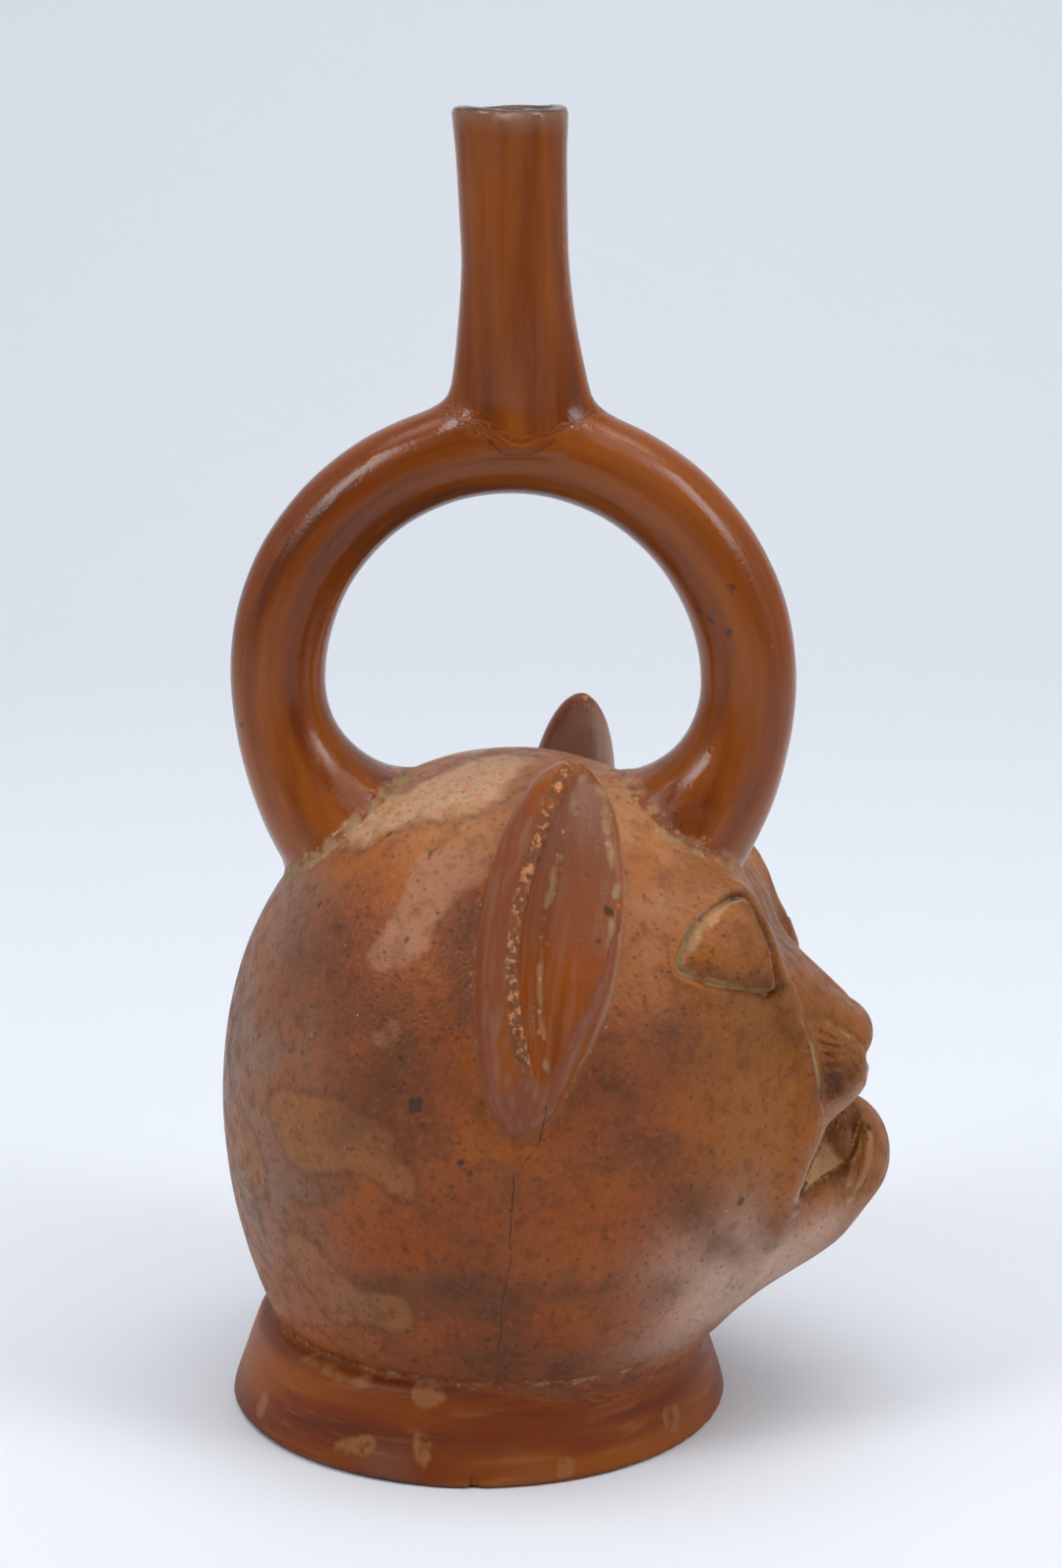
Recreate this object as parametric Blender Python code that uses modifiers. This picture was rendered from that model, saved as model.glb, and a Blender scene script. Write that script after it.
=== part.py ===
# Stirrup spout vessel: a hollow feline head of fired clay on a ring foot, with two ears,
# an arched hollow handle and one spout. Metres, +Z up, the face looks along -Y.
# Places are given as reach (forward of the foot's axis), side and height.

import math

import bmesh
import bpy
import numpy as np
from mathutils import Matrix, Vector

# Skull, an egg with its own half-axes to the back, the front, the crown and the neck
SKULL_REACH = 0.007
SKULL_HEIGHT = 0.072
SKULL_BACK = 0.0645
SKULL_FRONT = 0.062
SKULL_HALF_WIDTH = 0.0605
SKULL_RISE = 0.0735
SKULL_DROP = 0.096
NECK_SQUEEZE_SIDE = 0.18
NECK_SQUEEZE_FRONT = 0.50
CHAMBER_WALL = 0.005

# Ring foot
FOOT_SET_BACK = 0.00165
FOOT_RADIUS = 0.055
FOOT_TOP_RADIUS = 0.0484
FOOT_HEIGHT = 0.020
FOOT_WALL = 0.006
FLOOR_THICKNESS = 0.0055
FOOT_EDGE_ROUNDING = 0.0012

# Arched handle
HANDLE_REACH = 0.006
HANDLE_RISE_OVER_CROWN = 0.0155
HANDLE_RADIUS = 0.0503
TUBE_RADIUS = 0.0101
TUBE_WALL = 0.0045
TUBE_SWELL_AT_HEAD = 0.40
SWELL_ANGLE = math.radians(32)
SWELL_LIMIT = 1.2
HANDLE_DRAW_IN = 0.04

# Spout
SPOUT_LENGTH = 0.070
SPOUT_WAIST_HEIGHT = 0.040
SPOUT_WAIST_RADIUS = 0.011
SPOUT_RIM_RADIUS = 0.01205
SPOUT_BASE_RADIUS = 0.0152
SPOUT_WALL = 0.0035
SPOUT_FORWARD_OF_HANDLE = 0.0022
SPOUT_LEAN = math.radians(2.1)
RIM_ROUNDING = 0.0008

# Ears, each a leaf with a scooped front. The ends and the outward axis are shares, as on the face.
EAR_TIP = (0.234, 0.496, 1.061)
EAR_LOW = (0.089, 0.950, 0.082)
EAR_OUTWARD = (-0.45, 0.88, 0.36)
EAR_STAND = 0.028
EAR_THICKNESS = 0.029
EAR_SHIFT_OUT = 0.003
EAR_END_WALL = 0.001
EAR_SCOOP_STAND = 0.035
EAR_SCOOP_THICKNESS = 0.0264
EAR_SCOOP_OUT = 0.0115
EAR_SCOOP_FORWARD = 0.010

# Nose, a wedge that narrows from its root between the brows to its tip
NOSE_ROOT = (0.768, 0.0, 0.377)
NOSE_TIP = (1.123, 0.0, 0.162)
NOSE_ROOT_HALF_WIDTH = 0.022
NOSE_TIP_HALF_WIDTH = 0.0115
NOSE_ROOT_DEPTH = 0.009
NOSE_TIP_DEPTH = 0.0072
NOSE_END = 0.0075
NOSE_SQUARENESS = 2.6
NOSE_SOFTNESS = 0.003

# Eyes, each a dome inside a raised rim
EYE_PLACE = (0.766, 0.537, 0.530)
EYE_OUTWARD = (0.62, 0.72, 0.30)
EYE_FORWARD = (22.0, -13.5, -8.0)
EYE_HALF_LENGTH = 0.0122
EYE_HALF_HEIGHT = 0.0078
EYE_THICKNESS = 0.0092
EYE_SUNK = 0.0016
EYE_RIM_GAP = 0.0022
EYE_RIM_RADIUS = 0.0013
EYE_RIM_SUNK = 0.0004

# Mouth, a shallow recess on each side with a canine and a back tooth in it
MOUTH_DEPTH = 0.0022
MOUTH_FROM_MIDDLE = 0.002
CANINE_TOP = (1.198, 0.165, 0.02)
CANINE_POINT = (1.166, 0.233, -0.298)
CANINE_HALF_WIDTH = 0.0026
TOOTH_FRONT = (1.105, 0.248, -0.20)
TOOTH_BACK = (1.035, 0.446, -0.13)
TOOTH_HALF_WIDTH = 0.0030

# How finely the round shapes are cut
HEAD_SEGMENTS = 44
HEAD_RINGS = 40
CHAMBER_SEGMENTS = 20
CHAMBER_RINGS = 14
FACE_FINENESS = 0.6
HANDLE_STEPS = 44
HANDLE_BEVEL = 4
BORE_STEPS = 32
BORE_BEVEL = 2
TURNED_STEPS = 40
SPOUT_STEPS = 20
EYE_STEPS = 16
EAR_STEPS = 16
HALVINGS = 26

CLAY_COLOUR = (0.33, 0.12, 0.045, 1.0)
CLAY_ROUGHNESS = 0.45

CROWN_HEIGHT = SKULL_HEIGHT + SKULL_RISE
HANDLE_HEIGHT = CROWN_HEIGHT + HANDLE_RISE_OVER_CROWN
RECESS_HEIGHT = FOOT_HEIGHT - FLOOR_THICKNESS
SKULL_CENTRE = np.array((SKULL_REACH, 0.0, SKULL_HEIGHT))
HALF_SIZES = np.array((SKULL_FRONT, SKULL_HALF_WIDTH, SKULL_RISE))

# Masses of the face. Place and half-sizes are shares of the skull's front, half-width and rise,
# counted from its centre. The last value is how far a mass melts into the ones before it.
FACE_MASSES = {
    "cheeks": ((0.50, 0.22, -0.10), (0.50, 0.42, 0.50), 0.30),
    "muzzle": ((0.86, 0.0, 0.09), (0.34, 0.36, 0.22), 0.20),
    "jaw": ((0.865, 0.0, -0.355), (0.35, 0.40, 0.166), 0.22),
}
FACE_FORMS = {
    "lower_lip": ((1.14, 0.0, -0.208), (0.178, 0.25, 0.176), 0.07),
    "brow": ((0.645, 0.33, 0.46), (0.21, 0.22, 0.22), 0.22),
    "nostril": ((1.113, 0.215, 0.109), (0.105, 0.116, 0.082), 0.066),
}

# Rounded ridges along the face: places in shares, then radius and softness
FACE_RIDGES = {
    "cheek": (
        ((0.79, 0.38, 0.68), (0.871, 0.413, 0.494), (0.916, 0.418, 0.405), (1.0, 0.372, 0.231),
         (1.021, 0.413, 0.027), (0.955, 0.496, -0.204), (0.813, 0.529, -0.45)),
        0.0025, 0.004),
    "upper_lip": (
        ((1.197, 0.0, 0.049), (1.124, 0.241, 0.003), (1.074, 0.339, -0.023), (0.973, 0.496, -0.237)),
        0.0026, 0.002),
}
MOUTH_OUTLINE = ((1.218, -0.020), (1.142, -0.054), (1.097, -0.102), (0.971, -0.264), (1.069, -0.245),
                 (1.161, -0.204), (1.202, -0.122))


def to_scene(place):
    """Turn reach, side and height into scene coordinates."""
    reach, side, height = place
    return Vector((side, -reach, height))


def on_face(share_reach, share_side, share_rise):
    """Place on the face from shares of the skull's half-axes, as reach, side and height."""
    return SKULL_CENTRE + np.array((share_reach, share_side, share_rise)) * HALF_SIZES


def egg_distance(offset, half_sizes):
    """Near distance from points, given from the centre, to an ellipsoid."""
    outside = np.linalg.norm(offset / half_sizes, axis=1)
    slope = np.linalg.norm(offset / half_sizes**2, axis=1)
    return outside * (outside - 1.0) / np.maximum(slope, 1e-6)


def melt(first, second, width):
    """Union of two distances with a soft valley of the given width."""
    overlap = np.maximum(width - np.abs(first - second), 0.0) / width
    return np.minimum(first, second) - overlap**2 * width / 4.0


def along_line(points, places):
    """Distance from points to a line through places, and the share of the line passed there."""
    nearest = np.full(len(points), np.inf)
    share = np.zeros(len(points))
    spans = len(places) - 1
    for i in range(spans):
        start = np.array(places[i])
        step = np.array(places[i + 1]) - start
        part = np.clip((points - start) @ step / (step @ step), 0.0, 1.0)
        gap = np.linalg.norm(points - start - part[:, None] * step, axis=1)
        closer = gap < nearest
        nearest = np.where(closer, gap, nearest)
        share = np.where(closer, (i + part) / spans, share)
    return nearest, share


def nose_distance(offset):
    """Near distance from points, given from the skull's centre, to the wedge of the nose."""
    root = np.array(NOSE_ROOT) * HALF_SIZES
    run = np.array(NOSE_TIP) * HALF_SIZES - root
    length = np.linalg.norm(run)
    down = run / length
    up = np.array((-down[2], 0.0, down[0]))
    passed = (offset - root) @ down
    share = np.clip(passed / length, 0.0, 1.0)
    beside = offset[:, 1] / (NOSE_ROOT_HALF_WIDTH + share * (NOSE_TIP_HALF_WIDTH - NOSE_ROOT_HALF_WIDTH))
    above = (offset - root) @ up / (NOSE_ROOT_DEPTH + share * (NOSE_TIP_DEPTH - NOSE_ROOT_DEPTH))
    beyond = (passed - share * length) / NOSE_END
    sides = np.abs(np.stack((beside, above, beyond), axis=1)) ** NOSE_SQUARENESS
    return (sides.sum(axis=1) ** (1.0 / NOSE_SQUARENESS) - 1.0) * NOSE_TIP_DEPTH


def head_distance(points, detailed):
    """Near distance from points to the head without ears and eyes, or to its plain masses."""
    offset = points - SKULL_CENTRE
    offset[:, 1] = np.abs(offset[:, 1])
    half_rise = np.where(offset[:, 2] > 0.0, SKULL_RISE, SKULL_DROP)
    below = np.clip(-offset[:, 2] / SKULL_DROP, 0.0, 1.0)
    half_width = SKULL_HALF_WIDTH * (1.0 - NECK_SQUEEZE_SIDE * below**2)
    half_front = SKULL_FRONT * (1.0 - NECK_SQUEEZE_FRONT * below**2)
    half_reach = np.where(offset[:, 0] > 0.0, half_front, SKULL_BACK)
    distance = egg_distance(offset, np.stack((half_reach, half_width, half_rise), axis=1))
    masses = {**FACE_MASSES, **FACE_FORMS} if detailed else FACE_MASSES
    for place, half_sizes, softness in masses.values():
        mass = egg_distance(offset - np.array(place) * HALF_SIZES, np.array(half_sizes) * HALF_SIZES)
        distance = melt(distance, mass, softness * SKULL_HALF_WIDTH)
    if detailed:
        distance = melt(distance, nose_distance(offset), NOSE_SOFTNESS)
        for places, radius, softness in FACE_RIDGES.values():
            gap, share = along_line(offset, np.array(places) * HALF_SIZES)
            distance = melt(distance, gap - radius * (1.0 - 0.5 * share), softness)
    return distance


def head_reach(start, direction, inset, detailed):
    """Places where rays from inside the head meet its skin, drawn in by inset."""
    near = np.zeros(len(direction))
    far = np.full(len(direction), 2.0 * SKULL_DROP)
    for _ in range(HALVINGS):
        middle = (near + far) / 2.0
        inside = head_distance(start + direction * middle[:, None], detailed) + inset < 0.0
        near = np.where(inside, middle, near)
        far = np.where(inside, far, middle)
    return start + direction * near[:, None]


def head_shell(name, segments, rings, inset, detailed):
    """Closed skin of the head, drawn in by inset, its poles at the muzzle and the back."""
    mesh = bpy.data.meshes.new(name)
    shape = bmesh.new()
    bmesh.ops.create_uvsphere(shape, u_segments=segments, v_segments=rings, radius=1.0)
    poles = np.array([vertex.co for vertex in shape.verts])
    share = np.arccos(np.clip(poles[:, 2], -1.0, 1.0)) / math.pi
    polar = math.pi * ((1.0 - FACE_FINENESS) * share + FACE_FINENESS * share**2)
    around = np.arctan2(poles[:, 1], poles[:, 0])
    rays = np.stack((np.cos(polar), np.sin(polar) * np.sin(around), np.sin(polar) * np.cos(around)), axis=1)
    for vertex, place in zip(shape.verts, head_reach(SKULL_CENTRE, rays, inset, detailed)):
        vertex.co = to_scene(place)
    bmesh.ops.recalc_face_normals(shape, faces=shape.faces)
    shape.to_mesh(mesh)
    shape.free()
    return bpy.data.objects.new(name, mesh)


def turned(name, profile, steps):
    """Solid turned about Z from a profile that runs down its outer side."""
    mesh = bpy.data.meshes.new(name)
    edges = [(i, i + 1) for i in range(len(profile) - 1)]
    mesh.from_pydata([(radius, 0.0, height) for radius, height in profile], edges, [])
    source = bpy.data.objects.new(name + "_profile", mesh)
    bpy.context.scene.collection.objects.link(source)
    screw = source.modifiers.new("turn", "SCREW")
    screw.steps = steps
    screw.render_steps = steps
    screw.use_merge_vertices = True
    screw.merge_threshold = 0.00001
    return baked(source, name)


def closed_tube(name, places, scales, bevel, radius):
    """Closed ring of round tube through places, its radius scaled at each one."""
    curve = bpy.data.curves.new(name, "CURVE")
    curve.dimensions = "3D"
    curve.bevel_depth = radius
    curve.bevel_resolution = bevel
    spline = curve.splines.new("POLY")
    spline.points.add(len(places) - 1)
    for point, place, scale in zip(spline.points, places, scales):
        point.co = to_scene(place).to_4d()
        point.radius = scale
    spline.use_cyclic_u = True
    source = bpy.data.objects.new(name + "_curve", curve)
    bpy.context.scene.collection.objects.link(source)
    return baked(source, name)


def handle_tube(name, steps, bevel, radius, swell):
    """Closed ring of tube in the handle's plane, thicker where it meets the head."""
    places = []
    scales = []
    for i in range(steps):
        angle = math.tau * i / steps
        below = math.atan2(-math.sin(angle), abs(math.cos(angle)))
        ramp = min(max(below / SWELL_ANGLE, 0.0), SWELL_LIMIT) ** 2
        bend = HANDLE_RADIUS * (1.0 - HANDLE_DRAW_IN * ramp)
        places.append((HANDLE_REACH + bend * math.cos(angle), 0.0, HANDLE_HEIGHT + bend * math.sin(angle)))
        scales.append(1.0 + swell * ramp)
    return closed_tube(name, places, scales, bevel, radius)


def baked(source, name):
    """Evaluated mesh of a source object, welded and in scene coordinates."""
    bpy.context.view_layer.update()
    depsgraph = bpy.context.evaluated_depsgraph_get()
    mesh = bpy.data.meshes.new_from_object(source.evaluated_get(depsgraph))
    mesh.name = name
    shape = bmesh.new()
    shape.from_mesh(mesh)
    bmesh.ops.remove_doubles(shape, verts=shape.verts, dist=0.00001)
    bmesh.ops.recalc_face_normals(shape, faces=shape.faces)
    shape.to_mesh(mesh)
    shape.free()
    result = bpy.data.objects.new(name, mesh)
    result.matrix_world = source.matrix_world
    bpy.data.objects.remove(source)
    return result


def egg(name, place, half_sizes, axes, segments, rings):
    """Ellipsoid whose half-sizes lie along three axes given as reach, side and height."""
    mesh = bpy.data.meshes.new(name)
    shape = bmesh.new()
    bmesh.ops.create_uvsphere(shape, u_segments=segments, v_segments=rings, radius=1.0)
    columns = [to_scene(axis) * size for axis, size in zip(axes, half_sizes)]
    frame = Matrix(columns).transposed().to_4x4()
    frame.translation = to_scene(place)
    bmesh.ops.transform(shape, matrix=frame, verts=shape.verts)
    bmesh.ops.recalc_face_normals(shape, faces=shape.faces)
    shape.to_mesh(mesh)
    shape.free()
    return bpy.data.objects.new(name, mesh)


def block(name, top):
    """Broad block that fills everything below the level top."""
    mesh = bpy.data.meshes.new(name)
    shape = bmesh.new()
    bmesh.ops.create_cube(shape, size=4.0 * SKULL_DROP)
    shape.to_mesh(mesh)
    shape.free()
    result = bpy.data.objects.new(name, mesh)
    result.location.z = top - 2.0 * SKULL_DROP
    return result


def combine(target, other, operation):
    """Join or cut target with another object by a Boolean modifier."""
    step = target.modifiers.new(other.name, "BOOLEAN")
    step.operation = operation
    step.solver = "EXACT"
    step.object = other


def foot_profile():
    """Outline of the foot: outer flare, resting face, recess and floor."""
    inside_top = FOOT_HEIGHT + 0.6 * CHAMBER_WALL
    points = [(0.0, inside_top), (FOOT_TOP_RADIUS - CHAMBER_WALL, inside_top)]
    flare = FOOT_RADIUS - FOOT_TOP_RADIUS
    for i in range(6):
        share = i / 5
        height = FOOT_HEIGHT + share * (FOOT_EDGE_ROUNDING - FOOT_HEIGHT)
        points.append((FOOT_TOP_RADIUS + flare * (1.0 - (height / FOOT_HEIGHT) ** 1.15), height))
    points.append((FOOT_RADIUS - FOOT_EDGE_ROUNDING, 0.0))
    points.append((FOOT_RADIUS - FOOT_WALL, 0.0))
    points.append((FOOT_TOP_RADIUS - FOOT_WALL, RECESS_HEIGHT))
    points.append((0.0, RECESS_HEIGHT))
    return points


def spout_radius(height):
    """Outer radius of the spout at a height over the middle of the handle's tube."""
    above = max(height - SPOUT_WAIST_HEIGHT, 0.0) / (SPOUT_LENGTH - SPOUT_WAIST_HEIGHT)
    below = max(SPOUT_WAIST_HEIGHT - height, 0.0) / (SPOUT_WAIST_HEIGHT - TUBE_RADIUS)
    flare = (SPOUT_BASE_RADIUS - SPOUT_WAIST_RADIUS) * min(below, 1.0) ** 1.7
    return SPOUT_WAIST_RADIUS + (SPOUT_RIM_RADIUS - SPOUT_WAIST_RADIUS) * above**1.5 + flare


def make_spout():
    """Spout from the handle's tube to the rim, as wide as the tube at its sides."""
    levels = [SPOUT_LENGTH - RIM_ROUNDING - i * SPOUT_LENGTH / 9 for i in range(9)]
    profile = [(0.0, SPOUT_LENGTH), (SPOUT_RIM_RADIUS - RIM_ROUNDING, SPOUT_LENGTH)]
    profile += [(spout_radius(level), level) for level in levels]
    profile += [(spout_radius(0.0), 0.0), (0.0, 0.0)]
    spout = turned("spout", profile, SPOUT_STEPS)
    for vertex in spout.data.vertices:
        low = max(1.0 - vertex.co.z / SPOUT_WAIST_HEIGHT, 0.0)
        slim = SPOUT_WAIST_RADIUS + (0.99 * TUBE_RADIUS - SPOUT_WAIST_RADIUS) * low
        vertex.co.x *= min(slim / spout_radius(vertex.co.z), 1.0) if low > 0.0 else 1.0
    spout.matrix_world = spout_frame()
    return spout


def spout_frame():
    """Place and lean of the spout on the top of the handle."""
    base = to_scene((HANDLE_REACH + SPOUT_FORWARD_OF_HANDLE, 0.0, HANDLE_HEIGHT + HANDLE_RADIUS))
    return Matrix.Translation(base) @ Matrix.Rotation(-SPOUT_LEAN, 4, "X")


def make_spout_bore():
    """Bore of the spout, from the handle's bore up through the rim."""
    over = SPOUT_LENGTH + SPOUT_WALL
    radii = [(SPOUT_RIM_RADIUS, over), (SPOUT_RIM_RADIUS, SPOUT_LENGTH)]
    radii += [(SPOUT_WAIST_RADIUS, SPOUT_WAIST_HEIGHT), (TUBE_RADIUS, 0.0)]
    walls = [SPOUT_WALL, SPOUT_WALL, SPOUT_WALL, TUBE_WALL]
    profile = [(0.0, over)]
    profile += [(radius - wall, height) for (radius, height), wall in zip(radii, walls)]
    profile.append((0.0, 0.0))
    bore = turned("spout_bore", profile, SPOUT_STEPS)
    bore.matrix_world = spout_frame()
    return bore


def axes_from(outward, along):
    """Three axes at right angles: outward, across and along, with along kept as given."""
    along = along / np.linalg.norm(along)
    outward = outward - along * outward.dot(along)
    outward = outward / np.linalg.norm(outward)
    return outward, np.cross(outward, along), along


def make_ear(side):
    """Leaf and scoop of the ear that stands on one side of the skull."""
    mirror = np.array((1.0, side, 1.0))
    tip = on_face(*EAR_TIP) * mirror
    low = on_face(*EAR_LOW) * mirror
    outward, across, along = axes_from(np.array(EAR_OUTWARD) * mirror, tip - low)
    forward = across * side
    axes = (outward, forward, along)
    half_length = np.linalg.norm(tip - low) / 2.0
    middle = (tip + low) / 2.0 + outward * EAR_SHIFT_OUT
    leaf_sizes = (EAR_STAND / 2.0, EAR_THICKNESS / 2.0, half_length)
    leaf = egg("ear_leaf", middle, leaf_sizes, axes, EAR_STEPS, EAR_STEPS)
    scoop_place = middle + outward * (EAR_SCOOP_OUT - EAR_SHIFT_OUT / 2.0) + forward * EAR_SCOOP_FORWARD
    scoop_sizes = (EAR_SCOOP_STAND / 2.0, EAR_SCOOP_THICKNESS / 2.0, half_length - EAR_END_WALL)
    scoop = egg("ear_scoop", scoop_place, scoop_sizes, axes, EAR_STEPS, EAR_STEPS)
    return leaf, scoop


def make_eye(side):
    """Dome and rim of one eye."""
    mirror = np.array((1.0, side, 1.0))
    outward = np.array(EYE_OUTWARD) * mirror
    outward /= np.linalg.norm(outward)
    forward, raised, outward = axes_from(np.array(EYE_FORWARD) * mirror, outward)
    raised *= math.copysign(1.0, raised[2])
    inward_start = on_face(*EYE_PLACE) * mirror - outward * SKULL_HALF_WIDTH / 2.0
    angles = np.arange(EYE_STEPS) * math.tau / EYE_STEPS
    run = np.cos(angles) * (EYE_HALF_LENGTH + EYE_RIM_GAP)
    rise = np.sin(angles) * (EYE_HALF_HEIGHT + EYE_RIM_GAP)
    starts = inward_start + run[:, None] * forward + rise[:, None] * raised
    rays = np.tile(outward, (EYE_STEPS, 1))
    places = head_reach(starts, rays, EYE_RIM_SUNK, True)
    rim = closed_tube("eye_rim", places, np.ones(EYE_STEPS), 1, EYE_RIM_RADIUS)
    centre = head_reach(inward_start[None, :], outward[None, :], EYE_SUNK, True)[0]
    half_sizes = (EYE_HALF_LENGTH, EYE_HALF_HEIGHT, EYE_THICKNESS / 2.0)
    dome = egg("eye_dome", centre, half_sizes, (forward, raised, outward), EYE_STEPS, 8)
    return dome, rim


def make_mouth(side):
    """Cutter for the mouth on one side, a prism through the cheek down to the mouth's floor."""
    mesh = bpy.data.meshes.new("mouth")
    shape = bmesh.new()
    corners = [on_face(reach, 0.0, rise) for reach, rise in MOUTH_OUTLINE]
    near = np.array((0.0, side * MOUTH_FROM_MIDDLE, 0.0))
    far = np.array((0.0, side * SKULL_HALF_WIDTH, 0.0))
    face = shape.faces.new([shape.verts.new(to_scene(corner + near)) for corner in corners])
    grown = bmesh.ops.extrude_face_region(shape, geom=[face])["geom"]
    raised = [item for item in grown if isinstance(item, bmesh.types.BMVert)]
    bmesh.ops.translate(shape, verts=raised, vec=to_scene(far - near))
    bmesh.ops.recalc_face_normals(shape, faces=shape.faces)
    shape.to_mesh(mesh)
    shape.free()
    return bpy.data.objects.new("mouth", mesh)


def make_tooth(name, top, point, half_width, side):
    """Long rounded tooth from its top to its point."""
    mirror = np.array((1.0, side, 1.0))
    top = on_face(*top) * mirror
    point = on_face(*point) * mirror
    outward, across, along = axes_from(np.array((0.0, side, 0.0)), top - point)
    half_sizes = (half_width, half_width, np.linalg.norm(top - point) / 2.0)
    return egg(name, (top + point) / 2.0, half_sizes, (outward, across, along), 8, 6)


def main():
    """Build the vessel with its origin under the middle of its bounding box."""
    for old in list(bpy.data.objects):
        bpy.data.objects.remove(old)
    scene = bpy.context.scene
    pieces = bpy.data.collections.new("stirrup_spout_vessel")
    shapes = bpy.data.collections.new("added_and_cut_shapes")
    scene.collection.children.link(pieces)
    scene.collection.children.link(shapes)

    clay = bpy.data.materials.new("burnished_clay")
    clay.use_nodes = True
    finish = clay.node_tree.nodes["Principled BSDF"]
    finish.inputs["Base Color"].default_value = CLAY_COLOUR
    finish.inputs["Roughness"].default_value = CLAY_ROUGHNESS
    finish.inputs["Metallic"].default_value = 0.0

    base_level = RECESS_HEIGHT + 0.1 * FLOOR_THICKNESS
    vessel = head_shell("stirrup_vessel", HEAD_SEGMENTS, HEAD_RINGS, 0.0, True)
    pieces.objects.link(vessel)
    chamber = head_shell("chamber", CHAMBER_SEGMENTS, CHAMBER_RINGS, CHAMBER_WALL, False)
    mouth_floor = head_shell("mouth_floor", HEAD_SEGMENTS, HEAD_RINGS, MOUTH_DEPTH, True)
    below_head = block("below_head", base_level)
    below_chamber = block("below_chamber", FOOT_HEIGHT)
    combine(vessel, below_head, "DIFFERENCE")
    combine(chamber, below_chamber, "DIFFERENCE")
    foot = turned("foot", foot_profile(), TURNED_STEPS)
    foot.location = to_scene((-FOOT_SET_BACK, 0.0, 0.0))
    handle = handle_tube("handle", HANDLE_STEPS, HANDLE_BEVEL, TUBE_RADIUS, TUBE_SWELL_AT_HEAD)
    added = [foot, handle, make_spout()]
    cutters = [below_head, below_chamber, mouth_floor]
    mouths = []
    for side in (-1, 1):
        leaf, scoop = make_ear(side)
        combine(leaf, scoop, "DIFFERENCE")
        mouth = make_mouth(side)
        combine(mouth, mouth_floor, "DIFFERENCE")
        mouths.append(mouth)
        cutters.append(scoop)
        added += [leaf, *make_eye(side)]
        added.append(make_tooth("canine", CANINE_TOP, CANINE_POINT, CANINE_HALF_WIDTH, side))
        added.append(make_tooth("back_tooth", TOOTH_FRONT, TOOTH_BACK, TOOTH_HALF_WIDTH, side))
    bore = handle_tube("handle_bore", BORE_STEPS, BORE_BEVEL, TUBE_RADIUS - TUBE_WALL, 0.0)
    hollows = [chamber, bore, make_spout_bore()]
    for shape in mouths:
        combine(vessel, shape, "DIFFERENCE")
    for shape in added:
        combine(vessel, shape, "UNION")
    for shape in hollows:
        combine(vessel, shape, "DIFFERENCE")
    cutters += mouths
    for shape in added + cutters + hollows:
        shapes.objects.link(shape)
        shape.hide_render = True
        shape.display_type = "WIRE"

    vessel.data.materials.append(clay)
    vessel.data.shade_smooth()
    bpy.context.view_layer.update()
    evaluated = vessel.evaluated_get(bpy.context.evaluated_depsgraph_get())
    corners = np.array([vertex.co for vertex in evaluated.data.vertices])
    middle = (corners.min(axis=0) + corners.max(axis=0)) / 2.0
    frame = bpy.data.objects.new("vessel_frame", None)
    pieces.objects.link(frame)
    for shape in [vessel] + added + cutters + hollows:
        shape.parent = frame
    frame.location = (-middle[0], -middle[1], -corners[:, 2].min())
    bpy.context.view_layer.update()


main()
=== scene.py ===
import math

import bmesh
import bpy
import numpy as np
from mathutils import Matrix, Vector


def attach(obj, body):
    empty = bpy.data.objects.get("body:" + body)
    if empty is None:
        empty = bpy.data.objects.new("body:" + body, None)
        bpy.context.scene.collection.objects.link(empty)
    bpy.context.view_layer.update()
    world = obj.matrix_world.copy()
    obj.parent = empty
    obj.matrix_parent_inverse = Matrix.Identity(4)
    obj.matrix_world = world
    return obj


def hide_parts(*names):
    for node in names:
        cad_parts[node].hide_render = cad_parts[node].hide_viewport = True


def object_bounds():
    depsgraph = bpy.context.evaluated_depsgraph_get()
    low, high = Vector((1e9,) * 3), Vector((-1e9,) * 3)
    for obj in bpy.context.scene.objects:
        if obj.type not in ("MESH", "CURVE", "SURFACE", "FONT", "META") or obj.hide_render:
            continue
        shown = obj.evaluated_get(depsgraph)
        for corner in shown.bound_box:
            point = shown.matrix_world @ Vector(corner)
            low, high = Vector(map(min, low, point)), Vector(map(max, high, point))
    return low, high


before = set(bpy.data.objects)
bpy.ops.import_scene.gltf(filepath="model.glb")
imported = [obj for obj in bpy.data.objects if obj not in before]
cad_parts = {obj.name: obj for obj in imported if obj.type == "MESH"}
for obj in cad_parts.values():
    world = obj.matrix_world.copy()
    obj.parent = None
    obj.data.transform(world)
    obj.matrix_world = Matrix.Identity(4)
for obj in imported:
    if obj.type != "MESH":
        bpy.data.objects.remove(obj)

cadLow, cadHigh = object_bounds()

# Places on the vessel are (reach, side, height) in millimetres. Reach runs forward from the
# foot's axis to the face, side across the head, and the side turned to the camera is negative.
footShift = 15.6077
view = {
    "distance": 715.0,
    "height": 310.0,
    "yaw": 3.5,
    "pan": 0.8,
    "pitch": 13.5,
    "focalPixels": 3480.0,
    "pictureHeight": 1594.0,
}


def unit(v):
    v = np.array(v, float)
    return v / np.linalg.norm(v)


def smooth(x):
    x = np.clip(x, 0.0, 1.0)
    return x * x * (3.0 - 2.0 * x)


def bell(x, width):
    return np.exp(-((x / width) ** 2))


def melt(a, b, width):
    # Union of two distances with a soft valley.
    h = np.maximum(width - np.abs(a - b), 0.0) / width
    return np.minimum(a, b) - h * h * width / 4.0


def cutAway(a, b, width):
    # Distance a with b taken out, the edge rounded.
    return -melt(-a, b, width)


def ovalDistance(q, half):
    # Near distance to an oval, from places measured from its middle.
    outside = np.linalg.norm(q / half, axis=-1)
    return outside * (outside - 1.0) / np.maximum(np.linalg.norm(q / half**2, axis=-1), 1e-9)


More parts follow.
